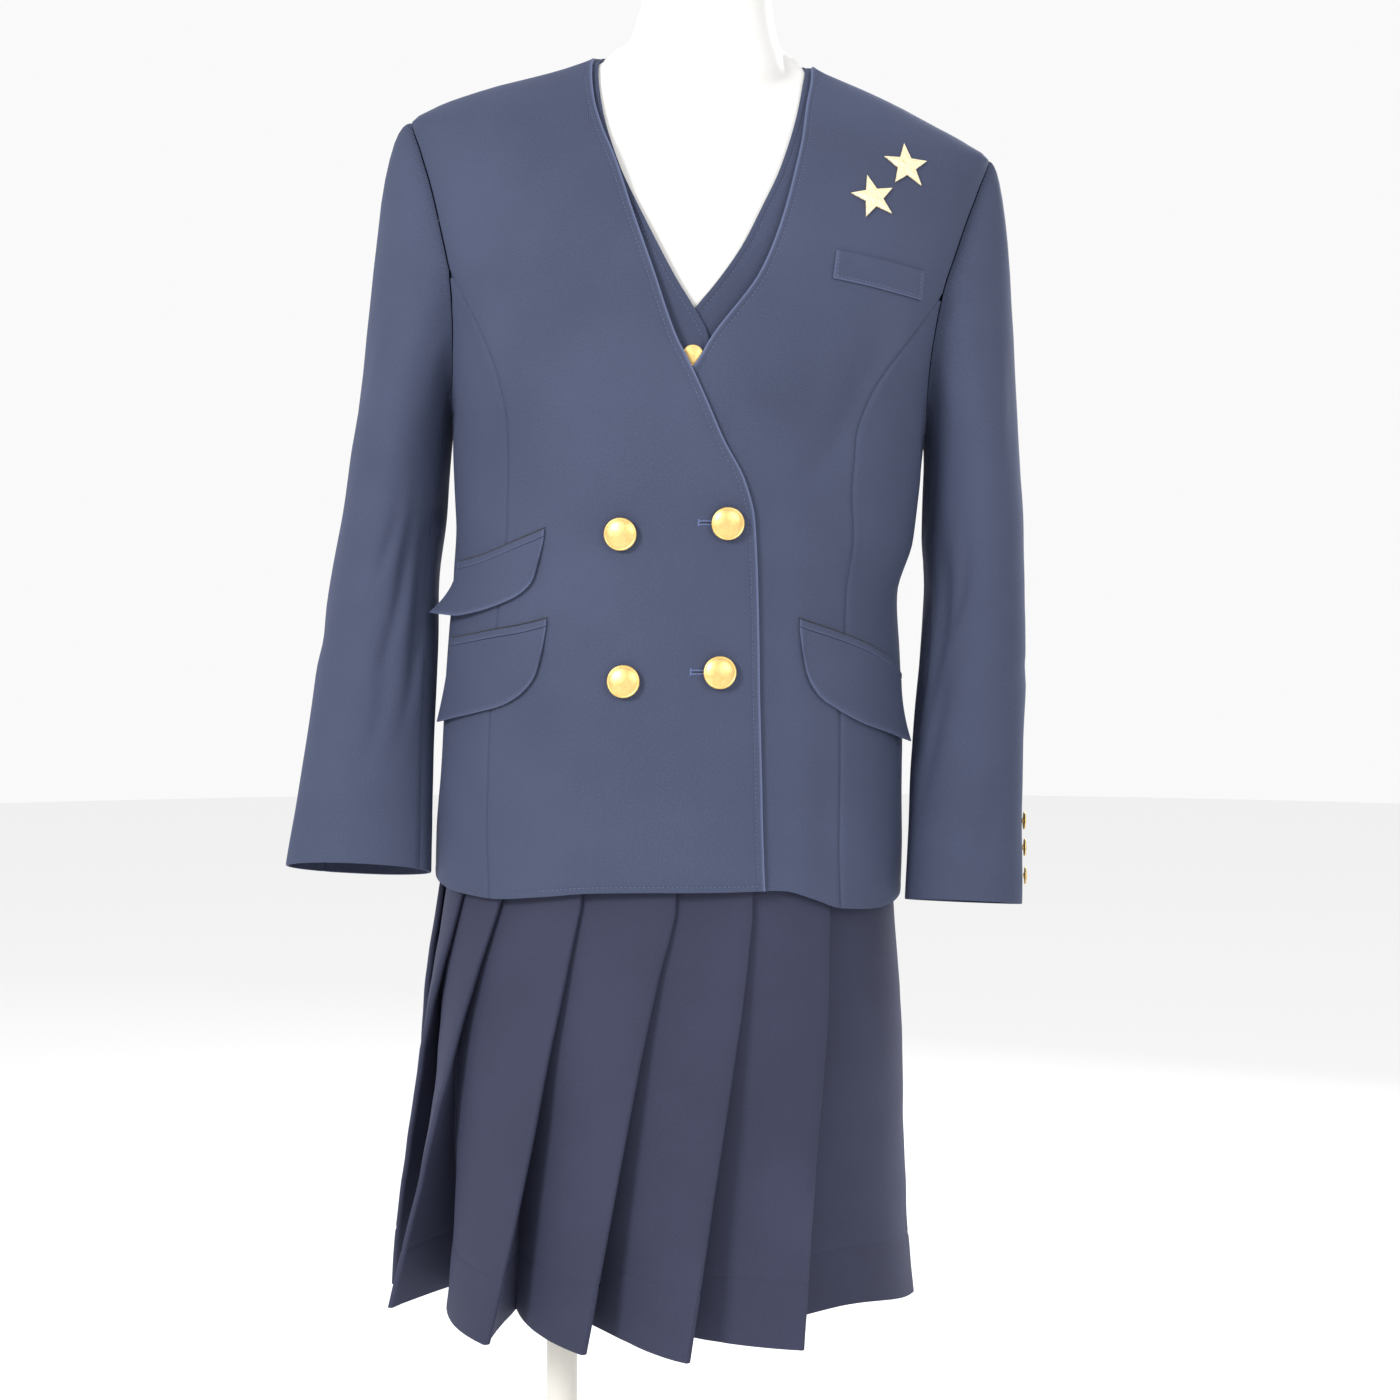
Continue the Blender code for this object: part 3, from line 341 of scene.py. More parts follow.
FRONT_BUTTON_RADIUS, CUFF_BUTTON_RADIUS, VEST_BUTTON_RADIUS = 11.5, 6.5, 7.5
FRONT_BUTTONS = {
    "button_upper_right": (-41.8, 1076), "button_upper_left": (30.6, 1086.5),
    "button_lower_right": (-35.6, 975), "button_lower_left": (29.6, 984),
}
VEST_BUTTON_X = 2.0
VEST_BUTTON_HEIGHTS = [1199, 1136, 1073, 1010]

# The skirt's outside at the pleat folds, and how far each inner fold lies behind them.
SKIRT = table("height half_width front back power pleat_depth underlay", [
    (517, 195.5, 188, 163, 1, 55, 7),
    (575, 189, 174, 151, 0.97, 43, 8),
    (650, 183, 158, 137, 0.94, 29, 9),
    (735, 177, 145, 124, 0.9, 15.5, 10.5),
    (817, 166.8, 134, 114.3, 0.87, 8.2, 12),
    (880, 161.8, 127.5, 108, 0.87, 6.4, 12),
    (945, 149.3, 115, 96.6, 0.87, 6.4, 12),
    (1010, 134.7, 103, 89.6, 0.87, 6.4, 12),
])
SKIRT_HEM_RISE = 0.049
SKIRT_HEM = table("angle rise", [
    (-180, 0), (-76, 0), (-35, 4), (-13, 5), (8, 0), (33, 0), (58, 6), (95, -5), (130, -2), (180, 0),
])["rise"]
FOLD_RISE = 0.18
PLEATS = [  # angle of the fold at the blazer's hem, angle at the skirt's hem
    (-260, -267), (-238, -250), (-216, -232), (-194, -214), (-172, -195), (-150, -176), (-128, -157),
    (-106, -138), (-84, -118), (-60.1, -97), (-42.2, -76), (-18.4, -35), (0.9, -13), (17.5, 8), (40.1, 33),
]
FOLD_ROOM, FOLD_OPENING, FOLD_ROOM_MOST = 2.0, 0.22, 3.4
WAISTBAND = (1010.3, 1042.0)

FORM_BOTTOM = 745
ARM_PLATE = 172.0
NECK = table("height half_width front back", [
    (1330, 62, 52, 53),
    (1405, 62, 52, 53),
    (1420, 57.5, 49.5, 51),
    (1440, 50.5, 46.5, 47.5),
    (1460, 47, 44, 45),
    (1485, 46, 43, 44),
])
NECK_HEIGHTS = [1330, 1405, 1420, 1440, 1460, 1485]

POLE_X, POLE_RADIUS = -85.0, 11.5
BASE_RADIUS, BASE_THICKNESS = 185.0, 9.0
SOCKET_HEIGHT, SOCKET_ROOM = 14.0, 1.2


def smoothstep(value):
    value = min(max(value, 0.0), 1.0)
    return value * value * (3 - 2 * value)


def bell(distance, width):
    """A smooth bump of height 1 that fades over about its width."""
    return math.exp(-((distance / width) ** 2))


def runs_along(points):
    """How far along a line each of its points lies."""
    return [0.0, *accumulate((point - before).length for before, point in zip(points, points[1:]))]


# ---- The surface that the cloth follows -------------------------------------------------------------------

def body_section(height, depth):
    """Half-width, front, back and centre of a layer: depth 0 is the blazer's outside and 1 is the form."""
    level = height + FORM_DROP * depth
    return (
        BODY["half_width"](level) - depth * AIR["side"](height),
        BODY["front"](level) - depth * AIR["front"](height),
        BODY["back"](level) - depth * AIR["back"](height),
        BODY["centre"](level),
    )


def section_point(angle, height, half_width, front, back, centre=0.0, power=SECTION_POWER):
    turn = math.radians(angle)
    across = math.copysign(abs(math.sin(turn)) ** power, math.sin(turn))
    along = math.copysign(abs(math.cos(turn)) ** power, math.cos(turn))
    reach = front if along > 0 else back
    return Vector((centre + half_width * across, -reach * along, height))


def body_point(angle, height, depth=0.0):
    point = section_point(angle, height, *body_section(height, depth))
    low = smoothstep((point.x - LOW_SHOULDER_X) / LOW_SHOULDER_BLEND)
    point.z -= LOW_SHOULDER_DROP * low * smoothstep((height - LOW_SHOULDER_START) / LOW_SHOULDER_BLEND)
    return point


def body_normal(angle, height, depth=0.0):
    across = body_point(angle + 0.5, height, depth) - body_point(angle - 0.5, height, depth)
    up = body_point(angle, height + 1, depth) - body_point(angle, height - 1, depth)
    return across.cross(up).normalized()


def angle_at(x, height, depth=0.0):
    """The angle on the front half of a layer at a distance x from the middle of the body."""
    half_width, _, _, centre = body_section(height, depth)
    share = min(abs(x - centre) / half_width, 0.995)
    return math.copysign(math.degrees(math.asin(share ** (1 / SECTION_POWER))), x - centre)


def blazer_level(angle, height):
    """The real height of a row: low rows follow the hem, and the top rows dip to the back neck."""
    if height < HEM_BLEND:
        return height + (HEM(angle) - BLAZER_HEM) * (HEM_BLEND - height) / (HEM_BLEND - BLAZER_HEM)
    behind = math.radians(max(min(abs(angle), 360 - abs(angle)) - SHOULDER_SEAM, 0.0))
    change = SIDE_NECK_RISE * math.sin(2 * behind) - BACK_NECK_DIP * math.sin(behind) ** 4
    return height + change * smoothstep((height - BACK_NECK_BLEND) / (NECK_TOP - BACK_NECK_BLEND))


def overlap_sink(x, height):
    share = smoothstep(1 - (x - BLAZER_EDGE["over"](height) - OVERLAP_MARGIN) / OVERLAP_BLEND)
    share *= smoothstep((OVERLAP_END - height) / (OVERLAP_END - OVERLAP_TOP))
    return -(BLAZER_WALL + OVERLAP_GAP) * share


def flat(_x, _height):
    return 0.0


UPRIGHT = Matrix.Scale(MM, 4)
LEANING = (
    Matrix.Translation((0, 0, LEAN_HEIGHT * MM))
    @ Matrix.Rotation(math.radians(LEAN), 4, "Y")
    @ Matrix.Translation((0, 0, -LEAN_HEIGHT * MM))
    @ UPRIGHT
)


# ---- Creases ----------------------------------------------------------------------------------------------

# How much deeper than its table each garment's creases are drawn, how many millimetres of cloth lie in a
# degree round each layer, and the size and height of the soft waves of worn cloth.
BLAZER_CREASING, SLEEVE_CREASING = 1.4, 1.8
BLAZER_DEGREE, SLEEVE_DEGREE, VEST_DEGREE, SKIRT_DEGREE = 2.7, 0.92, 2.4, 2.9
BLAZER_WAVES, SLEEVE_WAVES, VEST_WAVES = (62, 0.7), (48, 0.8), (62, 0.4)

# Each crease: angle, height, half its length, half its width, depth (a trough is negative), the lean of its
# long way from level, and how far its ends bend off its line.
BLAZER_CREASES = [
    (0.5, 926, 34, 8, -0.9, -52, 4),        # drag across the closed fronts, below the buttons
    (14, 1010, 30, 9, 0.5, -62, 3),
    (40, 1180, 62, 13, -1.9, 68, 6),        # from the left armhole towards the upper button
    (52, 1205, 34, 9, 0.9, 62, 3),
    (28, 1130, 30, 12, -0.8, 50, 4),
    (-66.5, 1249, 12, 3.2, -1.0, -45, 1),   # puckers below the right armhole's front
    (-66, 1232, 10, 3, -0.7, -38, 1),
    (-60, 1215, 26, 8, -0.8, -60, 3),
    (-78, 1158, 20, 7, -1.6, 58, 3),        # under the arms
    (80, 1150, 22, 7, -1.5, -55, 3),
    (-57, 1052, 30, 12, -1.3, 14, 4),       # at the waist, either side
    (-66, 1078, 20, 9, 0.7, 20, 3),
    (50, 1064, 28, 12, -1.3, -16, 4),
    (64, 1092, 22, 8, 0.6, -22, 3),
    (-48, 1120, 36, 12, -0.8, 78, 4),
    (-20, 1215, 40, 16, -0.8, 66, 5),
    (-36, 1300, 34, 13, -0.9, 40, 4),
    (34, 1325, 26, 12, -0.6, -42, 4),
    (-30, 880, 40, 15, -0.7, 80, 5),
    (38, 870, 36, 13, -0.7, -80, 4),
    (-84, 900, 42, 13, -1.1, 84, 4),
    (88, 890, 40, 12, -1.0, -82, 5),
    (-104, 1044, 28, 8, -1.6, -12, 4),      # the back, at the waist
    (-118, 1066, 36, 10, -1.4, -20, 5),
    (108, 1040, 30, 9, -1.5, 10, 4),
    (124, 1060, 40, 9, -1.3, 22, 6),
    (165, 1036, 34, 9, -1.2, 6, 4),
    (-160, 1052, 30, 8, -1.0, -8, 3),
    (-128, 1190, 56, 13, -1.7, 66, 7),      # from the back armholes down
    (130, 1182, 60, 14, -1.6, -64, 8),
    (-112, 1168, 24, 7, -1.3, 40, 3),
    (113, 1160, 22, 7, -1.2, -44, 3),
    (-150, 1310, 40, 14, -0.9, 14, 5),      # across the shoulders
    (152, 1322, 34, 12, -0.8, -12, 4),
    (-140, 930, 52, 16, -1.1, 86, 5),
    (144, 915, 46, 15, -1.0, -85, 5),
    (176, 985, 30, 10, 0.6, 80, 3),
]
SLEEVE_CREASES = {
    "right": [
        (118, 1035, 52, 7, -2.2, 82, 5),    # long folds inside the elbow
        (140, 1010, 60, 8, -2.6, 86, 5),
        (98, 1060, 34, 6, -1.3, 76, 4),
        (75, 1004, 24, 7, -1.1, 28, 4),
        (60, 1032, 20, 6, -0.8, 22, 3),
        (105, 960, 46, 8, -1.4, 84, 4),
        (160, 1090, 26, 7, -1.7, 60, 3),
        (30, 1180, 40, 10, -0.8, 70, 4),
        (64, 1210, 34, 8, -0.9, 62, 4),
        (0, 985, 30, 10, -0.8, 12, 4),
        (-40, 1000, 34, 9, -1.6, -14, 5),
        (-62, 1026, 28, 8, -1.4, -24, 4),
        (-75, 980, 30, 8, -1.3, 8, 4),
        (-95, 1060, 40, 9, -1.7, 70, 4),
        (-60, 1170, 40, 10, -1.3, 66, 4),
        (-110, 1130, 30, 8, -1.6, 58, 4),
        (200, 960, 52, 9, -1.8, 86, 4),
        (45, 890, 36, 10, -0.7, 76, 4),
    ],
    "left": [
        (126, 1030, 56, 7, -2.3, 84, -5),
        (148, 1000, 54, 8, -2.5, 80, -4),
        (104, 1052, 34, 6, -1.2, 98, -4),
        (82, 1010, 26, 7, -1.2, -26, -4),
        (58, 1040, 20, 6, -0.7, -20, -3),
        (110, 950, 44, 8, -1.3, 92, -4),
        (164, 1096, 24, 7, -1.6, 112, -3),
        (35, 1176, 44, 11, -0.9, 108, -4),
        (70, 1216, 30, 8, -0.8, 116, -4),
        (4, 990, 30, 10, -0.8, -10, -4),
        (-44, 1006, 32, 9, -1.5, 16, -5),
        (-66, 1030, 30, 8, -1.5, 22, -4),
        (-80, 976, 28, 8, -1.2, -10, -4),
        (-98, 1066, 42, 9, -1.6, 108, -4),
        (-58, 1176, 38, 10, -1.3, 112, -4),
        (-112, 1126, 28, 8, -1.5, 118, -4),
        (204, 952, 50, 9, -1.7, 92, -4),
        (40, 880, 38, 10, -0.8, 102, -4),
    ],
}
VEST_CREASES = [
    (-20, 1225, 30, 8, -0.6, 60, 3),
    (24, 1240, 34, 8, -0.6, -60, 3),
    (170, 1120, 40, 10, -1.0, 10, 4),
    (-150, 1150, 34, 9, -0.8, -12, 4),
]


CREASE_REACH = 2.2


def crease_relief(creases, angle, height, per_degree):
    """How far the creases move one place of the cloth in or out."""
    out = 0.0
    for at, level, length, width, depth, lean, bend in creases:
        across = ((angle - at + 180) % 360 - 180) * per_degree
        up = height - level
        if max(abs(across), abs(up)) > CREASE_REACH * length + width:
            continue
        turn = math.radians(lean)
        along = (across * math.cos(turn) + up * math.sin(turn)) / length
        aside = up * math.cos(turn) - across * math.sin(turn) - bend * along * along
        spread = width * (1 + 0.3 * along)
        out += depth * math.exp(-along * along - (aside / spread) ** 2)
    return out


def soft_unevenness(point, size, amount):
    """The slight waviness of worn cloth, the same for every layer at that place."""
    return amount * noise.noise(point / size)


def blazer_relief(point, angle, height):
    creases = crease_relief(BLAZER_CREASES, angle, height, BLAZER_DEGREE)
    return BLAZER_CREASING * creases + soft_unevenness(point, *BLAZER_WAVES)


def vest_relief(point, angle, height):
    return crease_relief(VEST_CREASES, angle, height, VEST_DEGREE) + soft_unevenness(point, *VEST_WAVES)


def on_blazer(angle, height, out):
    """A point on or above the blazer's creased outside, and the way out there."""
    base, normal = body_point(angle, height), body_normal(angle, height)
    return base + normal * (out + blazer_relief(base, angle, height)), normal


# ---- Meshes -----------------------------------------------------------------------------------------------

SHARP_ANGLE = 42
# How strongly a painted highlight pales the free edges and the flap rims, in place of light caught on the
# rolled edges.
FREE_EDGE_HIGHLIGHT, FLAP_RIM_HIGHLIGHT = 0.22, 0.1


def linked(name, data):
    """A new object in the scene, round a mesh, a light or a camera."""
    thing = bpy.data.objects.new(name, data)
    bpy.context.scene.collection.objects.link(thing)
    return thing


def circle(radius, height, count):
    turns = [math.tau * i / count for i in range(count)]
    return [Vector((radius * math.cos(turn), radius * math.sin(turn), height)) for turn in turns]


def quad_strips(rows, columns):
    """Faces between rings of points that follow each other."""
    faces = []
    for r in range(rows - 1):
        for c in range(columns):
            d = (c + 1) % columns
            faces.append([r * columns + c, r * columns + d, (r + 1) * columns + d, (r + 1) * columns + c])
    return faces


def make_piece(name, points, faces, material, place=LEANING, cloth=None, sharp=SHARP_ANGLE):
    """A piece that rides on the part, from points in millimetres. cloth holds each point's place on the
    cloth, from which the weave takes its direction."""
    mesh = bpy.data.meshes.new(name)
    mesh.from_pydata([place @ point for point in points], [], faces)
    mesh.materials.append(material)
    if cloth is not None:
        corners = np.empty(len(mesh.loops), dtype=np.int32)
        mesh.loops.foreach_get("vertex_index", corners)
        places = np.array(cloth, dtype=np.float32) * MM
        mesh.uv_layers.new(name="cloth").data.foreach_set("uv", places[corners].ravel())
    mesh.shade_smooth()
    mesh.set_sharp_from_angle(angle=math.radians(sharp))
    piece = linked(name, mesh)
    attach(piece, "root")
    return piece


def round_edges(piece, width, segments=2):
    bevel = piece.modifiers.new("rounded_edges", "BEVEL")
    bevel.width = width * MM
    bevel.segments = segments
    bevel.limit_method = "ANGLE"
    bevel.angle_limit = math.radians(SHARP_ANGLE)
    bevel.harden_normals = True
    return piece


def wall_faces(rows, columns, closed):
    """Faces of a wall whose outer grid comes first and whose inner grid follows in the same order."""
    inside, last = rows * columns, columns if closed else columns - 1
    faces = []
    for r in range(rows - 1):
        for c in range(last):
            d = (c + 1) % columns
            quad = [r * columns + c, r * columns + d, (r + 1) * columns + d, (r + 1) * columns + c]
            faces += [quad, [inside + i for i in reversed(quad)]]
    for c in range(last):
        d, top = (c + 1) % columns, (rows - 1) * columns
        faces.append([d, c, inside + c, inside + d])
        faces.append([top + c, top + d, inside + top + d, inside + top + c])
    if not closed:
        for r in range(rows - 1):
            low, high = r * columns, (r + 1) * columns
            faces.append([low, high, inside + high, inside + low])
            low, high = low + columns - 1, high + columns - 1
            faces.append([high, low, inside + low, inside + high])
    return faces


def make_wall(name, grid, places, material, closed=False, mirrored=False, rounding=0.35, edge_highlight=None):
    """A cloth wall from rows of (outer, inner) pairs and each pair's place on the cloth. The per-point list
    given last is how much a painted highlight pales each place, in place of light caught on rolled edges."""
    points = [pair[0] for row in grid for pair in row] + [pair[1] for row in grid for pair in row]
    cloth = [place for row in places for place in row] * 2
    faces = wall_faces(len(grid), len(grid[0]), closed)
    if mirrored:
        faces = [face[::-1] for face in faces]
    piece = make_piece(name, points, faces, material, cloth=cloth)
    if edge_highlight:
        # The painted edge highlight of every point, for both walls, as an attribute for the cloth's material.
        pressed = np.array(edge_highlight * 2, dtype=np.float32)
        piece.data.attributes.new("painted_edge_highlight", "FLOAT", "POINT").data.foreach_set("value", pressed)
    return round_edges(piece, rounding)


def trim_row(row, trim=0.06):
    """Both ends of a row drawn in a hair, so that sewn edges meet without crossing."""
    for end, beside in ((0, 1), (-1, -2)):
        pairs = zip(row[end], row[beside])
        row[end] = tuple(point + (near - point).normalized() * trim for point, near in pairs)
    return row


def turned(name, profile, sides, material, centre, axis=Vector((0, 0, 1)), place=LEANING, hole=0.0):
    """A turned piece from (radius, height) rows: closed on its axis, or round a hole."""
    spin = axis.to_track_quat("Z", "Y").to_matrix()
    rows = list(profile)
    if hole:
        rows += [(hole, profile[-1][1]), (hole, profile[0][1])]
    points, rings = [], []
    for radius, height in rows:
        ring = circle(radius, height, sides if radius else 1)
        rings.append(range(len(points), len(points) + len(ring)))
        points += [centre + spin @ spot for spot in ring]
    faces = []
    if not hole and len(rings[0]) > 1:
        faces.append(list(rings[0])[::-1])
    pairs = list(zip(rings, rings[1:])) + ([(rings[-1], rings[0])] if hole else [])
    for low, high in pairs:
        for i in range(sides):
            j = (i + 1) % sides
            if len(high) == 1:
                faces.append([low[i], low[j], high[0]])
            else:
                faces.append([low[i], low[j], high[j], high[i]])
    if not hole and len(rings[-1]) > 1:
        faces.append(list(rings[-1]))
    return make_piece(name, points, faces, material, place)


def subdivided(marks, step):
    """The marks, with even places between them no further apart than step."""
    values = [marks[0]]
    for low, high in zip(marks, marks[1:]):
        count = max(1, math.ceil(abs(high - low) / step))
        values += [low + (high - low) * (i + 1) / count for i in range(count)]
    return values


# ---- Cloth panels -----------------------------------------------------------------------------------------

# Distances from a panel's edge at which it has a column: a sewn seam, or a free edge with its topstitching.
EDGE_STEPS = {
    "seam": (0, 0.9, 2.0, 3.6, 6.0, 10.0),
    "free": (0, 0.9, 2.2, 3.5, 4.3, 4.9, 5.7, 7.4, 11.0),
}
STITCH_INSET = 4.7
ROW_SAMPLES = 20


def edge_relief(kind, distance, along, seed):
    """How an edge shapes the cloth beside it: a seam draws it in, and topstitching presses a line in it."""
    uneven = 1 + 0.7 * noise.noise(Vector((along / 11, seed, 0.5)))
    if kind == "seam":
        return -0.95 * bell(distance, 1.2) + 0.26 * uneven * bell(distance - 5, 3.2)
    pressed = -0.5 * bell(distance - STITCH_INSET, 0.9)
    return pressed + 0.3 * uneven * bell(distance - 2.2, 1.5)


def spread_row(start, end, level, layer_of, kinds, middle):
    """Places along a row, closer together by its edges: the angle, and how far either end is."""
    spots = []
    for i in range(ROW_SAMPLES + 1):
        angle = start + (end - start) * i / ROW_SAMPLES
        real = level(angle)
        spots.append(body_point(angle, real, layer_of(real)))
    lengths = runs_along(spots)
    width = lengths[-1]
    near, far = EDGE_STEPS[kinds[0]], EDGE_STEPS[kinds[1]]
    squeeze = min(1.0, 0.6 * width / (near[-1] + far[-1]))
    first = [step * squeeze for step in near]
    last = [width - step * squeeze for step in reversed(far)]
    inner = [first[-1] + (last[0] - first[-1]) * i / middle for i in range(1, middle)]
    places = []
    for distance in first + inner + last:
        i = min(max(bisect_right(lengths, distance), 1), ROW_SAMPLES)
        share = (i - 1 + (distance - lengths[i - 1]) / max(lengths[i] - lengths[i - 1], 1e-9)) / ROW_SAMPLES
        places.append((start + (end - start) * share, distance, width - distance))
    return places


def no_layer(_height):
    return 0.0


def upright(_height):
    return 1.0


def slant_of(track):
    """How much further a level step goes than a step square to a slanting edge."""
    return lambda height: math.hypot(1, (track(height + 2) - track(height - 2)) / 4)


def cloth_panel(name, heights, left, right, kinds, middle, wall, material, relief, seed,
                layer_of=no_layer, lift=flat, level=None, slants=(upright, upright), hem=None):
    """A fine cloth wall between two seam lines, creased, and drawn in at its seams."""
    grid, places, edge_highlight = [], [], []
    # Free blazer edges get a painted highlight, as if the rolled edge caught the light.
    edge_highlight_strength = FREE_EDGE_HIGHLIGHT if wall == BLAZER_WALL else 0
    for height in heights:
        start, end = left(height), right(height)

        def real_height(angle):
            return level(angle, height) if level else height

        row, row_places = [], []
        for angle, near, far in spread_row(start, end, real_height, layer_of, kinds, middle):
            real = real_height(angle)
            layer = layer_of(real)
            base, normal = body_point(angle, real, layer), body_normal(angle, real, layer)
            out = lift(base.x, real) + relief(base, angle, real)
            edge = edge_relief(kinds[0], near / slants[0](height), height, seed)
            edge += edge_relief(kinds[1], far / slants[1](height), height, seed + 3)
            if hem:
                edge += hem(angle, height - heights[0])
            row.append((base + normal * (out + edge), base + normal * (out - wall)))
            row_places.append((near, real))
            free = [distance for distance, kind in zip((near, far), kinds) if kind == "free"]
            edge_highlight.append(sum(edge_highlight_strength * smoothstep((2.0 - distance) / 1.5) for distance in free))
        grid.append(trim_row(row))
        places.append(row_places)
    return make_wall(name, grid, places, material, edge_highlight=edge_highlight)


# ---- Blazer -----------------------------------------------------------------------------------------------

BLAZER_ROWS = [
    BLAZER_HEM, 818, 819.6, 820.9, 821.7, 822.6, 825, 829,
    *subdivided([835, *LOW_HEIGHTS[1:], *ARM_HEIGHTS], 6.5),
    *subdivided([SHOULDER_POINT, *TOP_HEIGHTS], 4.5)[1:],
]
ARM_ROWS = subdivided(ARM_HEIGHTS, 6.5)
HEM_STITCH_END = -36.0


def build_blazer_body(cloth):
    def seam_line(side, armhole, start, below):
        """A seam of one side: below up to its start, then round the armhole, and then along the shoulder."""
        def seam(height):
            if height > SHOULDER_POINT:
                return side * SHOULDER_SEAM
            return side * (armhole(height) if height > start else below(height))
        return seam

    def side_seam(side, armhole):
        return seam_line(side, armhole, ARMPIT, lambda _: SIDE_SEAM)

    def edge(column):
        return lambda height: angle_at(BLAZER_EDGE[column](height), height)

    def hem(angle, above):
        """The turned-up hem is a little full, and stitched on the right front as far as the stitches go."""
        full = 0.25 * bell(above - 2.2, 1.6)
        if angle > HEM_STITCH_END:
            full -= 0.45 * bell(above - STITCH_INSET, 0.9)
        return full

    def plain_hem(_angle, above):
        return 0.2 * bell(above - 3.5, 2.8)

    def panel(name, left, right, seed, kinds=("seam", "seam"), middle=26, heights=BLAZER_ROWS, lift=flat,
              slants=(upright, upright), turn_up=plain_hem):
        return cloth_panel(name, heights, left, right, kinds, middle, BLAZER_WALL, cloth, blazer_relief, seed,
                           lift=lift, level=blazer_level, slants=slants, hem=turn_up)

    side_rows = {"middle": 16, "heights": [height for height in BLAZER_ROWS if height <= SIDE_FRONT_TOP]}
    right_princess = seam_line(-1, ARMHOLE["right"], PRINCESS_TOP, PRINCESS["right"])
    left_princess = seam_line(1, ARMHOLE["left"], PRINCESS_TOP, PRINCESS["left"])
    right_side, left_side = side_seam(-1, ARMHOLE["right"]), side_seam(1, ARMHOLE["left"])
    right_behind, left_behind = side_seam(-1, ARMHOLE["back"]), side_seam(1, ARMHOLE["back"])
    over, under = slant_of(BLAZER_EDGE["over"]), slant_of(BLAZER_EDGE["under"])
    return {
        "blazer_front_right": panel("right_front", right_princess, edge("over"), 1, ("seam", "free"),
                                    slants=(upright, over), turn_up=hem),
        "blazer_front_left": panel("left_front", edge("under"), left_princess, 2, ("free", "seam"),
                                   slants=(under, upright), lift=overlap_sink),
        "blazer_side_right": panel("right_side_front", right_side, right_princess, 4, **side_rows),
        "blazer_side_left": panel("left_side_front", left_princess, left_side, 5, **side_rows),
        "blazer_back_right": panel("right_back", lambda _: -BACK_SEAM, right_behind, 6),
        "blazer_back_left": panel("left_back", left_behind, lambda _: BACK_SEAM, 7),
    }


def armhole_loop(side):
    """Points and normals round an armhole: from the shoulder down the front, and up the back."""
    seam = ARMHOLE["right" if side < 0 else "left"]
    front = [(side * seam(height), height) for height in reversed(ARM_ROWS)]
    back = [(side * ARMHOLE["back"](height), height) for height in ARM_ROWS[1:-1]]
    places = [(angle, blazer_level(angle, height)) for angle, height in front + back]
    return [on_blazer(*place, 0.0) for place in places]


def sleeve_point(sleeve, side, around, height):
    """A point of the sleeve's outside: around is 0 at the outside of the arm and 90 at its front."""
    inner, outer = sleeve["inner"](height), sleeve["outer"](height)
    turn = math.radians(around + sleeve["turn"](height))
    forward = -sleeve["half_depth"](height) * math.sin(turn)
    x = (inner + outer) / 2 + (outer - inner) / 2 * math.cos(turn)
    return Vector((side * x, sleeve["middle"](height) + forward, height - sleeve["slope"](height) * forward))


def sleeve_angles(loop):
    """Each armhole point's place round the sleeve: 0 at the shoulder, 180 at the armpit."""
    count, half = len(loop), len(ARM_ROWS) - 1
    lengths = [(loop[(i + 1) % count] - loop[i]).length for i in range(count)]
    halves = sum(lengths[:half]), sum(lengths[half:])
    return [180 * sum(lengths[:i]) / halves[0] if i < half else 180 + 180 * sum(lengths[half:i]) / halves[1]
            for i in range(count)]


CAP_STEPS = [0, 0.025, 0.06, 0.1, 0.15, 0.21, 0.28, 0.35, 0.42, 0.5, 0.58, 0.66, 0.74, 0.82, 0.91]
CUFF_ROWS = [1.1, 2.8, 5, 9]
SLEEVE_STEP = 7.5


def sleeve_rows(name):
    """Heights from the upper arm down to the cuff, close together at the cuff's edge."""
    *upper, low = SLEEVE_HEIGHTS[name]
    above_cuff = subdivided([low + 16, upper[-1]], SLEEVE_STEP)[:-1]
    cuff = [low + rise for rise in reversed(CUFF_ROWS)]
    return subdivided(upper, SLEEVE_STEP) + above_cuff[::-1] + cuff + [low]


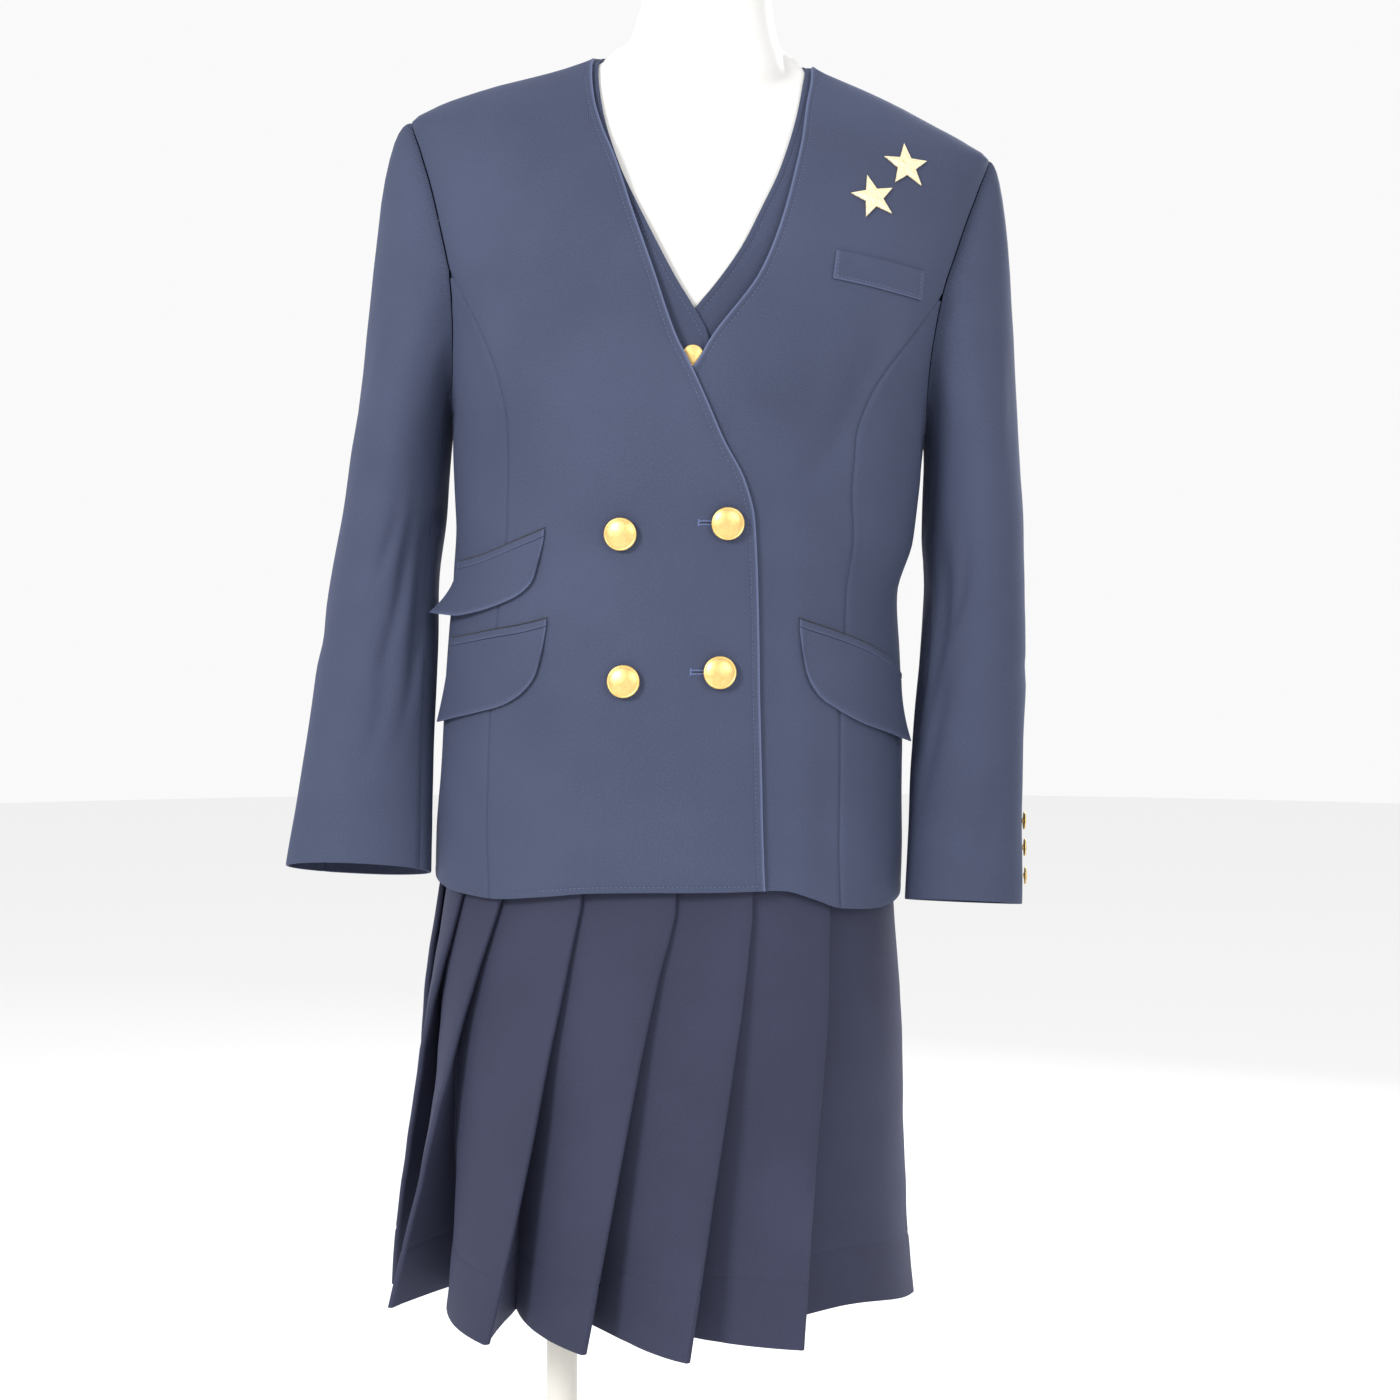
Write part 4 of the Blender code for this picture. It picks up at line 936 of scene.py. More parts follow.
def sleeve_grid(name, side):
    """Rows of (outer, inner) pairs from the armhole to the cuff, and each column's place round the arm."""
    sleeve = SLEEVES[name]
    loop = armhole_loop(side)
    angles = sleeve_angles([point for point, _ in loop])
    middle = sum((point for point, _ in loop), Vector()) / len(loop)
    rows = sleeve_rows(name)
    first, first_inside = [], []
    outside = [[] for _ in CAP_STEPS]
    for i, (point, normal) in enumerate(loop):
        along = loop[(i + 1) % len(loop)][0] - loop[i - 1][0]
        inward = along.cross(normal).normalized()
        if inward.dot(middle - point) < 0:
            inward.negate()
        start = point + inward * 0.1
        first.append(start)
        first_inside.append(start + inward * BLAZER_WALL)
        share = (1 + math.cos(math.radians(angles[i]))) / 2
        reach = ARMPIT_REACH + (CAP_REACH[name] - ARMPIT_REACH) * share
        top, below = SLEEVE_HEIGHTS[name][:2]
        end = sleeve_point(sleeve, side, angles[i], top)
        rise = (end - sleeve_point(sleeve, side, angles[i], below)).normalized()
        handles = start + normal * reach, end + rise * (0.42 * (end - start).length)
        for row, t in zip(outside, CAP_STEPS):
            row.append(start * (1 - t) ** 3 + handles[0] * (3 * t * (1 - t) ** 2)
                       + handles[1] * (3 * t * t * (1 - t)) + end * t ** 3)
    for height in rows:
        outside.append([sleeve_point(sleeve, side, angle, height) for angle in angles])
    grid = [list(zip(first, first_inside))]
    count = len(loop)
    for r in range(1, len(outside)):
        above, below = outside[r - 1], outside[min(r + 1, len(outside) - 1)]
        row, pairs = outside[r], []
        for c in range(count):
            around = row[(c + 1) % count] - row[c - 1]
            out = around.cross(below[c] - above[c]).normalized() * side
            place = (angles[c] + 180) % 360 - 180
            move = SLEEVE_CREASING * crease_relief(SLEEVE_CREASES[name], place, row[c].z, SLEEVE_DEGREE)
            move += soft_unevenness(row[c], *SLEEVE_WAVES)
            for seam in (SLEEVE_FRONT_SEAM, SLEEVE_BACK_SEAM):
                off = abs((angles[c] - seam + 180) % 360 - 180) * 0.95
                move += -0.6 * bell(off, 2.0) + 0.2 * bell(off - 6, 3.5)
            if r < len(CAP_STEPS):
                pucker = 0.5 * noise.noise(Vector((angles[c] / 5.5, side * 7.0, CAP_STEPS[r] * 4)))
                move += pucker * bell(CAP_STEPS[r], 0.14)
                move *= smoothstep(CAP_STEPS[r] / 0.12)
            if r == len(outside) - 1:
                move -= 0.2
            pairs.append((row[c] + out * move, row[c] + out * (move * 0.9 - BLAZER_WALL)))
        grid.append(pairs)
    return grid, angles


def build_sleeves(cloth, brass):
    pieces = {}
    for name, side in (("right", -1), ("left", 1)):
        grid, angles = sleeve_grid(name, side)
        front = min(range(len(angles)), key=lambda i: abs(angles[i] - SLEEVE_FRONT_SEAM))
        back = min(range(len(angles)), key=lambda i: abs(angles[i] - SLEEVE_BACK_SEAM))
        top = [*range(back, len(angles)), *range(front + 1)]
        under = [*range(front, back + 1)]
        for piece, columns in (("top", top), ("under", under)):
            rows = [trim_row([row[c] for c in columns]) for row in grid]
            runs = runs_along([grid[len(CAP_STEPS)][c][0] for c in columns])
            places = [[(run, row[c][0].z) for run, c in zip(runs, columns)] for row in grid]
            wall = make_wall(f"{name}_{piece}_sleeve", rows, places, cloth, mirrored=side < 0)
            pieces[f"sleeve_{piece}_{name}"] = wall
        for number, height in enumerate(CUFF_BUTTON_HEIGHTS, 1):
            around = CUFF_BUTTON_ANGLE[name]
            here = sleeve_point(SLEEVES[name], side, around, height)
            ahead = sleeve_point(SLEEVES[name], side, around + 2, height)
            above = sleeve_point(SLEEVES[name], side, around, height + 2)
            out = (ahead - here).cross(here - above).normalized() * side
            lift = soft_unevenness(here, *SLEEVE_WAVES) + LIE_GAP
            make_button(f"cuff_button_{name}_{number}", here + out * lift, out, CUFF_BUTTON_RADIUS, brass)
    return pieces


# A seam allowance: places across it, its thickness, and its room below the blazer's wall.
ALLOWANCE_STEPS = (-4.0, -2.0, 0.0, 2.0, 4.0)
ALLOWANCE_WALL, ALLOWANCE_GAP = 0.7, 0.25


def build_seam_allowances(cloth):
    """The strip of cloth turned back inside each armhole seam."""
    strips = {}
    for name, side in (("right", -1), ("left", 1)):
        for part, seam in (("front", ARMHOLE[name]), ("back", ARMHOLE["back"])):
            grid, places = [], []
            for height in ARM_ROWS:
                row, row_places = [], []
                for step in ALLOWANCE_STEPS:
                    angle = side * (seam(height) + step / BLAZER_DEGREE)
                    real = blazer_level(angle, height)
                    under, normal = on_blazer(angle, real, -BLAZER_WALL - ALLOWANCE_GAP)
                    row.append((under, under - normal * ALLOWANCE_WALL))
                    row_places.append((step, height))
                grid.append(row)
                places.append(row_places)
            strips[name, part] = make_wall(f"{name}_{part}_armhole_seam_allowance", grid, places, cloth,
                                           mirrored=side < 0, rounding=0.2)
    return strips


# Turned button outlines as shares of the radius: shank, flat back, rolled rim, fine groove and low dome.
BUTTON_PROFILE = [
    (0.26, 0.0), (0.26, 0.17), (0.3, 0.19), (0.86, 0.19), (0.95, 0.212), (0.99, 0.25), (1.0, 0.3),
    (0.985, 0.355), (0.95, 0.395), (0.915, 0.405), (0.89, 0.39), (0.875, 0.388), (0.855, 0.402), (0.8, 0.437),
    (0.7, 0.485), (0.58, 0.528), (0.45, 0.56), (0.3, 0.588), (0.15, 0.604), (0, 0.61),
]
SMALL_BUTTON_PROFILE = [
    (0.3, 0.0), (0.3, 0.1), (0.36, 0.12), (0.9, 0.14), (0.98, 0.17), (1.0, 0.22), (0.985, 0.275),
    (0.94, 0.31), (0.9, 0.315), (0.87, 0.308), (0.84, 0.312), (0.7, 0.355), (0.5, 0.39), (0.25, 0.42),
    (0, 0.43),
]


def make_button(name, foot, axis, radius, brass):
    large = radius == FRONT_BUTTON_RADIUS
    rows = [(r * radius, h * radius) for r, h in (BUTTON_PROFILE if large else SMALL_BUTTON_PROFILE)]
    piece = turned(f"gold_{name}", rows, 56 if large else 32, brass, foot, axis)
    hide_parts(name)
    return piece


def build_front_buttons(brass):
    for name, (x, height) in FRONT_BUTTONS.items():
        foot, out = on_blazer(angle_at(x, height), height, LIE_GAP)
        make_button(name, foot, out, FRONT_BUTTON_RADIUS, brass)


def patch_steps(last, edge=0.06):
    """Columns of a patch, closer together by both its ends."""
    ends = [0, edge, 2.5 * edge, 5 * edge]
    inner = subdivided([ends[-1], last - ends[-1]], 0.14)
    return ends[:-1] + inner + [last - step for step in reversed(ends[:-1])]


# Rows of a patch, as shares of its length from the top edge, and those of a jet.
PATCH_ROWS = [1, 0.97, 0.92, 0.85, 0.76, 0.66, 0.56, 0.46, 0.36, 0.26, 0.17, 0.1, 0.04, 0]
JET_ROWS = [1, 0.86, 0.7, 0.5, 0.3, 0.14, 0]


def patch_wall(name, side, rows, wall, cloth, drop=None, stitched=False):
    """A fine patch on the front, with softly rolled edges: its rows go from its lower edge up. With a drop it
    is a jet, which lies along the top edge and stands that high."""
    grid, places, edge_highlight = [], [], []
    last = rows["lift"].keys[-1]
    wide = (rows["top_x"](last) - rows["top_x"](0)) / last
    for t in PATCH_ROWS if drop is None else JET_ROWS:
        row, row_places = [], []
        for column in patch_steps(last):
            top = rows["top_x"](column), rows["top_height"](column)
            bottom = rows["bottom_x"](column), rows["bottom_height"](column)
            if drop is not None:
                bottom, top = (top[0], top[1] + SEAM_GAP), (top[0], top[1] + SEAM_GAP + drop)
            x = top[0] + (bottom[0] - top[0]) * t
            height = top[1] + (bottom[1] - top[1]) * t
            length = math.hypot(top[0] - bottom[0], top[1] - bottom[1])
            rim = min(min(column, last - column) * wide, (1 - t) * length)
            if drop is None:
                lift = (rows["lift"](column) + (0.0 if stitched else 1.1)) * t * t
                swell = -0.5 * bell(rim, 1.3) + 0.35 * bell(rim - 3.4, 2.4)
                if stitched:
                    swell -= 0.3 * bell(rim - 3.2, 0.9)
            else:
                lift, swell = 0.0, 0.75 * math.sqrt(max(math.sin(math.pi * t), 0.0)) - 0.35
            place, normal = on_blazer(angle_at(side * x, height), height, LIE_GAP + lift)
            row.append((place + normal * (wall + swell), place))
            row_places.append((x, height))
            # The rims get a painted highlight, as if the rolled edge caught the light.
            edge_highlight.append(FLAP_RIM_HIGHLIGHT * smoothstep((1.9 - rim) / 1.4))
        grid.append(row)
        places.append(row_places)
    return make_wall(name, grid, places, cloth, mirrored=side < 0, edge_highlight=edge_highlight)


def build_pockets(cloth):
    pieces = {}
    for name, (side, rows) in FLAPS.items():
        pieces[name] = patch_wall(f"pocket_{name}", side, rows, FLAP_WALL, cloth)
        jet = name.replace("flap", "jet")
        pieces[jet] = patch_wall(f"pocket_{jet}", side, rows, JET_WALL, cloth, drop=JET_HEIGHT)
    pieces["breast_welt"] = patch_wall("pocket_breast_welt", 1, BREAST_WELT, JET_WALL, cloth, stitched=True)
    return pieces


STAR_RINGS = [1, 0.965, 0.9, 0.8, 0.68, 0.55, 0.42, 0.29, 0.16]
STAR_CORNERS, STAR_SIDE_POINTS = 10, 7


def build_stars(lame):
    """Star patches with turned-under edges and fine crumpling."""
    pieces = {}
    for name, (x, height, first) in STARS.items():
        outline = []
        for i in range(STAR_CORNERS):
            radius = STAR_RADIUS * (STAR_WAIST if i % 2 else 1.0)
            turn = math.radians(first - 360 // STAR_CORNERS * i)
            outline.append(Vector((radius * math.cos(turn), radius * math.sin(turn))))
        loop = [outline[i].lerp(outline[(i + 1) % STAR_CORNERS], k / STAR_SIDE_POINTS)
                for i in range(STAR_CORNERS) for k in range(STAR_SIDE_POINTS)]

        def on_cloth(place, out):
            level = height + place.y
            return on_blazer(angle_at(x + place.x, level), level, LIE_GAP + out)[0]

        points = []
        for share in STAR_RINGS:
            fade = min(1, (1 - share) * 9)
            for spot in (place * share for place in loop):
                crumple = 0.22 * noise.noise(Vector((spot.x / 2.6, spot.y / 2.6, x))) * fade
                swell = STAR_CROWN * (1 - share ** 2.2) + (0.0 if share < 1 else -0.35)
                points.append(on_cloth(spot, STAR_WALL + swell + crumple))
        points += [on_cloth(place, 0) for place in loop]
        middle = Vector((0, 0))
        points += [on_cloth(middle, STAR_WALL + STAR_CROWN), on_cloth(middle, 0)]
        count, faces = len(loop), []
        last, under = (len(STAR_RINGS) - 1) * count, len(STAR_RINGS) * count
        top, foot = len(points) - 2, len(points) - 1
        for i in range(count):
            j = (i + 1) % count
            for ring in range(0, last, count):
                faces.append([ring + i, ring + count + i, ring + count + j, ring + j])
            faces += [[top, last + j, last + i], [foot, under + i, under + j], [i, j, under + j, under + i]]
        places = [(p.x, p.z) for p in points]
        pieces[name] = make_piece(f"{name}_patch", points, faces, lame, cloth=places)
    return pieces


# ---- Vest -------------------------------------------------------------------------------------------------

VEST_ROWS = subdivided(VEST_HEIGHTS, 8)
VEST_LIFT_START, VEST_LIFT_BLEND = -50, 25  # where the upper front rises over the lower one


def vest_place(x, height):
    """A point of the vest's smooth outside, the way out there, and how far its creases move it."""
    depth = VEST_DEPTH(height)
    angle = angle_at(x, height, depth)
    base = body_point(angle, height, depth)
    return base, body_normal(angle, height, depth), vest_relief(base, angle, height)


def build_vest(cloth, brass):
    def armhole(side, column):
        return lambda height: side * VEST_ARMHOLE[column](height)

    def edge(column):
        return lambda height: angle_at(VEST_EDGE[column](height), height, VEST_DEPTH(height))

    def lift(x, _height):
        return (VEST_WALL + VEST_OVERLAP_GAP) * smoothstep((x - VEST_LIFT_START) / VEST_LIFT_BLEND)

    def level(angle, height):
        return max(blazer_level(angle, height), height - BACK_NECK_DIP)

    def panel(name, left, right, seed, kinds, middle=16, raise_by=flat, slants=(upright, upright)):
        return cloth_panel(name, VEST_ROWS, left, right, kinds, middle, VEST_WALL, cloth, vest_relief, seed,
                           VEST_DEPTH, raise_by, level, slants)

    over, under = slant_of(VEST_EDGE["over"]), slant_of(VEST_EDGE["under"])
    back_left = armhole(1, "back")
    pieces = {
        "vest_front_right": panel("vest_right_front", armhole(-1, "front"), edge("over"), 11,
                                  ("seam", "free"), raise_by=lift, slants=(upright, over)),
        "vest_front_left": panel("vest_left_front", edge("under"), armhole(1, "front"), 12, ("free", "seam"),
                                 slants=(under, upright)),
        "vest_back": panel("vest_whole_back", back_left, lambda height: 360 - back_left(height), 13,
                           ("seam", "seam"), 30),
    }
    for number, height in enumerate(VEST_BUTTON_HEIGHTS, 1):
        base, out, relief = vest_place(VEST_BUTTON_X, height)
        foot = base + out * (lift(VEST_BUTTON_X, height) + LIE_GAP + relief)
        make_button(f"vest_button_{number}", foot, out, VEST_BUTTON_RADIUS, brass)
    return pieces


# ---- Skirt ------------------------------------------------------------------------------------------------

SKIRT_ROWS = [
    517, 518.2, 520.5, 525, *subdivided([532, 556], 8), 559.5, 561, 562, 563, 564.5, 568,
    *subdivided([575, 650, 735, BLAZER_HEM, 870, 930, 1010], 9),
]
SKIRT_HEM_DEPTH = 45.0
PRESSED_LINE = 26.0
PLEAT_COLUMNS, PLAIN_COLUMNS = 14, 36
UNDERLAY_SHARES = (0.12, 0.36, 0.64, 0.88)
BAND_COLUMNS, BAND_TURN, BAND_RUN = 120, 3, 7.6  # columns, and each one's degrees and millimetres

# How a fold bulges and runs at four places round it.
FOLD_BENDS = [(math.cos(math.radians(tilt)), math.sin(math.radians(tilt))) for tilt in (-50, -15, 20, 55)]


def pleat_angle(pleat, height):
    share = (BLAZER_HEM - height) / (BLAZER_HEM - SKIRT_ROWS[0])
    return pleat[0] + (pleat[1] - pleat[0]) * max(share, 0.0)


def skirt_section(height):
    """The cloth's middle line at one height: out to each fold, back under it, and on to the next fold."""
    line = []
    underlay, depth = SKIRT["underlay"](height), SKIRT["pleat_depth"](height)
    drop = max((BLAZER_HEM - height) / (BLAZER_HEM - SKIRT_ROWS[0]), 0.0)
    room = min(FOLD_ROOM + FOLD_OPENING * (depth - SKIRT["pleat_depth"](SKIRT_ROWS[-1])), FOLD_ROOM_MOST)

    def place(angle, behind):
        inset = SKIRT_WALL / 2 + behind
        sizes = [SKIRT[column](height) - inset for column in ("half_width", "front", "back")]
        point = section_point(angle, height, *sizes, BODY["centre"](height), SKIRT["power"](height))
        ripple = 0.8 * noise.noise(Vector((point.x / 80, point.y / 80, height / 26))) * smoothstep(drop * 4)
        ripple += 1.6 * noise.noise(Vector((point.x / 60, point.y / 60, height / 170 + 9))) * drop
        outward = Vector((point.x, point.y, 0)).normalized()
        around = angle if angle > -180 else angle + 360
        point.z += drop * (SKIRT_HEM_RISE * point.x + SKIRT_HEM(around) + FOLD_RISE * behind)
        return point + outward * ripple

    for before, pleat in zip([PLEATS[-1]] + PLEATS[:-1], PLEATS):
        turn = 360 if before is PLEATS[-1] else 0
        start = pleat_angle(before, height) - turn - underlay
        end = pleat_angle(pleat, height)
        count = PLAIN_COLUMNS if turn else PLEAT_COLUMNS
        for i in range(count + 1):
            share = i / count
            angle = start + (end - start) * share
            pressed = (angle - start - underlay) * SKIRT_DEGREE - PRESSED_LINE
            groove = 0.45 * bell(pressed, 2.2) if not turn else 0.0
            line.append(place(angle, depth * (1 - share) + groove))
        for bulge, along in FOLD_BENDS:
            line.append(place(end + bulge * room / 2 / SKIRT_DEGREE, room / 2 * (1 + along)))
        for share in UNDERLAY_SHARES:
            line.append(place(end - underlay * share, room + (depth - 2 * room) * share))
        for bulge, along in FOLD_BENDS:
            angle = end - underlay - bulge * room / 2 / SKIRT_DEGREE
            line.append(place(angle, depth - room / 2 * (1 - along)))
    return line


def offset_line(line, out):
    """A closed line moved sideways, with mitred corners."""
    moved = []
    for i, point in enumerate(line):
        before, after = (point - line[i - 1]), (line[(i + 1) % len(line)] - point)
        sides = [Vector((run.y, -run.x, 0)).normalized() for run in (before, after)]
        mitre = (sides[0] + sides[1]).normalized()
        moved.append(point + mitre * (out / max(mitre.dot(sides[0]), 0.6)))
    return moved


def build_skirt(cloth):
    grid = []
    for height in SKIRT_ROWS:
        line = skirt_section(height)
        above = height - SKIRT_ROWS[0]
        mark = -0.4 * bell(above - SKIRT_HEM_DEPTH, 1.1) + 0.22 * smoothstep((SKIRT_HEM_DEPTH - above) / 4)
        grid.append(list(zip(offset_line(line, SKIRT_WALL / 2 + mark), offset_line(line, -SKIRT_WALL / 2))))
        if height == SKIRT_ROWS[0]:
            runs = runs_along(line)
    places = [[(run, height) for run in runs] for height in SKIRT_ROWS]
    skirt = make_wall("pleated_skirt", grid, places, cloth, closed=True, rounding=0.4)
    band, band_places = [], []
    for height in subdivided([WAISTBAND[0], WAISTBAND[1]], 4.5):
        rise = math.sin(math.pi * (height - WAISTBAND[0]) / (WAISTBAND[1] - WAISTBAND[0]))
        row = []
        for i in range(BAND_COLUMNS):
            angle = i * BAND_TURN
            base, out = body_point(angle, height, 1), body_normal(angle, height, 1)
            row.append((base + out * (REST_GAP + BAND_WALL - 0.3 + 0.5 * rise), base + out * REST_GAP))
        band.append(row)
        band_places.append([(i * BAND_RUN, height) for i in range(BAND_COLUMNS)])
    waistband = make_wall("skirt_band", band, band_places, cloth, closed=True)
    return {"skirt_pleated": skirt, "skirt_waistband": waistband}


# ---- Dress form and stand ---------------------------------------------------------------------------------

FORM_SIDES = 112
NECK_BLEND = 20.0
NECK_FADE = 15.0
FORM_SIZES = ("half_width", "front", "back")
FORM_ROWS = [
    FORM_BOTTOM, 745.6, 747, 750, *subdivided([756, 1000, 1040, 1300], 12), *subdivided([1304, 1434], 4),
    *subdivided([1440, 1480], 5), 1483, 1484.4, NECK_HEIGHTS[-1],
]

# How the form's rims are rounded, as shares of its size at these heights.
FORM_RIMS = {FORM_BOTTOM: 0.975, 745.6: 0.988, 747: 0.996, 1484.4: 0.985, NECK_HEIGHTS[-1]: 0.96}

# Turned outlines, as radius and height.
CAP_PROFILE = [
    (43.2, 0), (43.8, 0.3), (44, 0.9), (44, 4.6), (43.7, 5.6), (42.8, 6.5), (40.5, 8), (37, 9.3), (32, 9.8),
    (0, 10),
]
BASE_PROFILE = [
    (BASE_RADIUS - 1.2, 0), (BASE_RADIUS - 0.3, 0.4), (BASE_RADIUS, 1.2), (BASE_RADIUS, 6.2),
    (BASE_RADIUS - 0.4, 7.6), (BASE_RADIUS - 1.3, 8.6), (BASE_RADIUS - 2.6, 9), (BASE_RADIUS - 30, 9),
    (120, 9), (60, 9), (0, 9),
]
BOSS_PROFILE = [(23.4, 0), (24, 0.6), (24, 20.2), (23.6, 21.8), (22.6, 23.2), (21, 24), (14, 24)]
SOCKET_PROFILE = [(29.2, 0), (29.8, 0.4), (30, 1), (30, 12.6), (29.7, 13.4), (29, 14), (20, 14)]
POLE_SIDES = 56
POLE_RINGS = [(0, 0.5), (0.4, 0.12), (1, 0), (200, 0), (420, 0), (600, 0)]  # rise, and how far drawn in


def polar_outline(points):
    """A ring of points as radius and height at even turns about the form's middle."""
    turns = [(math.degrees(math.atan2(p.x, -p.y)) % 360, math.hypot(p.x, p.y), p.z) for p in points]
    turns.sort()
    turns = [(turns[-1][0] - 360, *turns[-1][1:])] + turns + [(turns[0][0] + 360, *turns[0][1:])]
    keys = [turn[0] for turn in turns]
    ring = []
    for i in range(FORM_SIDES):
        at = 360 * i / FORM_SIDES
        k = min(bisect_right(keys, at), len(keys) - 1)
        share = (at - keys[k - 1]) / max(keys[k] - keys[k - 1], 1e-9)
        ring.append([turns[k - 1][n] + (turns[k][n] - turns[k - 1][n]) * share for n in (1, 2)])
    return ring


def smooth_most(first, second, blend):
    overlap = max(blend - abs(first - second), 0) / blend
    return max(first, second) + overlap * overlap * blend / 4


def build_form(shell, wood):
    """The torso, its neck and the flat arm ends as one smooth shell."""
    points = []
    for height in FORM_ROWS:
        ring = [body_point(i * 2, min(height, NECK_TOP), 1) for i in range(180)]
        for point in ring:
            point.x = min(max(point.x, -ARM_PLATE), ARM_PLATE)
        torso = polar_outline(ring)
        neck = [0.0] * FORM_SIDES
        if height >= NECK_HEIGHTS[0]:
            sizes = [NECK[size](height) for size in FORM_SIZES]
            ring = [section_point(i * 2, height, *sizes, power=1.0) for i in range(180)]
            neck = [radius for radius, _ in polar_outline(ring)]
        above = height - NECK_TOP
        shrink = math.sqrt(max(1 - (above / NECK_FADE) ** 2, 0.0)) if above > 0 else 1.0
        settle = smoothstep(above / NECK_FADE)
        for i in range(FORM_SIDES):
            radius = smooth_most(torso[i][0] * shrink, neck[i], NECK_BLEND) * FORM_RIMS.get(height, 1.0)
            level = torso[i][1] * (1 - settle) + height * settle if above <= NECK_FADE else height
            level += max(above, 0) * (1 - settle)
            turn = math.radians(360 * i / FORM_SIDES)
            points.append(Vector((radius * math.sin(turn), -radius * math.cos(turn), level)))
    count, rows = FORM_SIDES, len(FORM_ROWS)
    faces = [list(range(count))[::-1], [(rows - 1) * count + i for i in range(count)]]
    faces += quad_strips(rows, count)
    torso = make_piece("dress_form_shell", points, faces, shell, sharp=60)
    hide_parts("form_torso")
    seat = Vector((0, 0, NECK_HEIGHTS[-1] + SEAM_GAP))
    cap = turned("neck_cap_turning", CAP_PROFILE, 96, wood, seat)
    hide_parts("neck_cap")


def build_stand(enamel):
    """Plate, boss and pole stand upright. The pole's top is cut to the form's leaning underside."""
    lean = math.radians(LEAN)
    below = FORM_BOTTOM - LEAN_HEIGHT
    base = turned("round_base_plate", BASE_PROFILE, 128, enamel, Vector(), place=UPRIGHT)
    foot = Vector((POLE_X, 0, BASE_THICKNESS + SEAM_GAP))
    collar = turned("pole_boss", BOSS_PROFILE, 64, enamel, foot, place=UPRIGHT, hole=POLE_RADIUS + SEAM_GAP)
    points = []
    for rise, drawn in POLE_RINGS:
        points += [foot + spot for spot in circle(POLE_RADIUS - drawn, rise, POLE_SIDES)]
    for spot in circle(POLE_RADIUS, 0, POLE_SIDES):
        x = POLE_X + spot.x
        across = (x - below * math.sin(lean)) / math.cos(lean)
        level = LEAN_HEIGHT - across * math.sin(lean) + below * math.cos(lean) - SEAM_GAP
        points.append(Vector((x, spot.y, level)))
    last = len(POLE_RINGS) * POLE_SIDES
    faces = quad_strips(len(POLE_RINGS) + 1, POLE_SIDES)
    faces += [list(range(POLE_SIDES))[::-1], [last + i for i in range(POLE_SIDES)]]
    pole = make_piece("upright_pole", points, faces, enamel, place=UPRIGHT)
    across = (POLE_X - below * math.sin(lean)) / math.cos(lean)
    seat = Vector((across, 0, FORM_BOTTOM - SEAM_GAP - SOCKET_HEIGHT))
    socket = turned("form_socket_ring", SOCKET_PROFILE, 64, enamel, seat, hole=POLE_RADIUS + SOCKET_ROOM)
    nodes = {"stand_base": base, "stand_boss": collar, "stand_pole": pole, "form_socket": socket}
    for node, piece in nodes.items():
        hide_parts(node)


# ---- Stitching --------------------------------------------------------------------------------------------

def add(tree, kind, links=None, **settings):
    """A node with its settings, its inputs linked to sockets or set to values."""
    node = tree.nodes.new(kind)
    for name, value in settings.items():
        setattr(node, name, value)
    for name, source in (links or {}).items():
        if isinstance(source, bpy.types.NodeSocket):
            tree.links.new(source, node.inputs[name])
        else:
            node.inputs[name].default_value = source
    return node


def stitching_tree():
    """Stitches of one size, evenly spaced along a path, each lying flat on the cloth."""
    tree = bpy.data.node_groups.new("stitching", "GeometryNodeTree")
    sockets = {"Path": "Geometry", "Spacing": "Float", "Stitch length": "Float", "Stitch width": "Float",
               "Stitch height": "Float", "Thread": "Material"}
    for name, kind in sockets.items():
        tree.interface.new_socket(name, in_out="INPUT", socket_type="NodeSocket" + kind)
    tree.interface.new_socket("Stitches", in_out="OUTPUT", socket_type="NodeSocketGeometry")
    given = add(tree, "NodeGroupInput").outputs
    curve = add(tree, "GeometryNodeMeshToCurve", {"Mesh": given["Path"]}).outputs["Curve"]
    even = add(tree, "GeometryNodeResampleCurve", {"Curve": curve, "Length": given["Spacing"]}, mode="LENGTH")
    tangent = add(tree, "GeometryNodeInputTangent").outputs["Tangent"]
    out = add(tree, "GeometryNodeInputNamedAttribute", {"Name": "out"}, data_type="FLOAT_VECTOR")
    along = add(tree, "FunctionNodeAlignRotationToVector", {"Vector": tangent}, axis="X").outputs["Rotation"]
    lying = add(tree, "FunctionNodeAlignRotationToVector",
                {"Rotation": along, "Vector": out.outputs["Attribute"]}, axis="Z", pivot_axis="X")
    ball = add(tree, "GeometryNodeMeshUVSphere", {"Segments": 6, "Rings": 4, "Radius": 0.5}).outputs["Mesh"]
    size = add(tree, "ShaderNodeCombineXYZ", {
        "X": given["Stitch length"], "Y": given["Stitch width"], "Z": given["Stitch height"],
    }).outputs["Vector"]
    stitch = add(tree, "GeometryNodeTransform", {"Geometry": ball, "Scale": size}).outputs["Geometry"]
    sewn = add(tree, "GeometryNodeInstanceOnPoints", {
        "Points": even.outputs["Curve"], "Instance": stitch, "Rotation": lying.outputs["Rotation"]})
    real = add(tree, "GeometryNodeRealizeInstances", {"Geometry": sewn.outputs["Instances"]})
    smooth = add(tree, "GeometryNodeSetShadeSmooth", {"Geometry": real.outputs["Geometry"]})
    threaded = add(tree, "GeometryNodeSetMaterial", {
        "Geometry": smooth.outputs["Geometry"], "Material": given["Thread"]})
    add(tree, "NodeGroupOutput", {"Stitches": threaded.outputs["Geometry"]})
    return tree


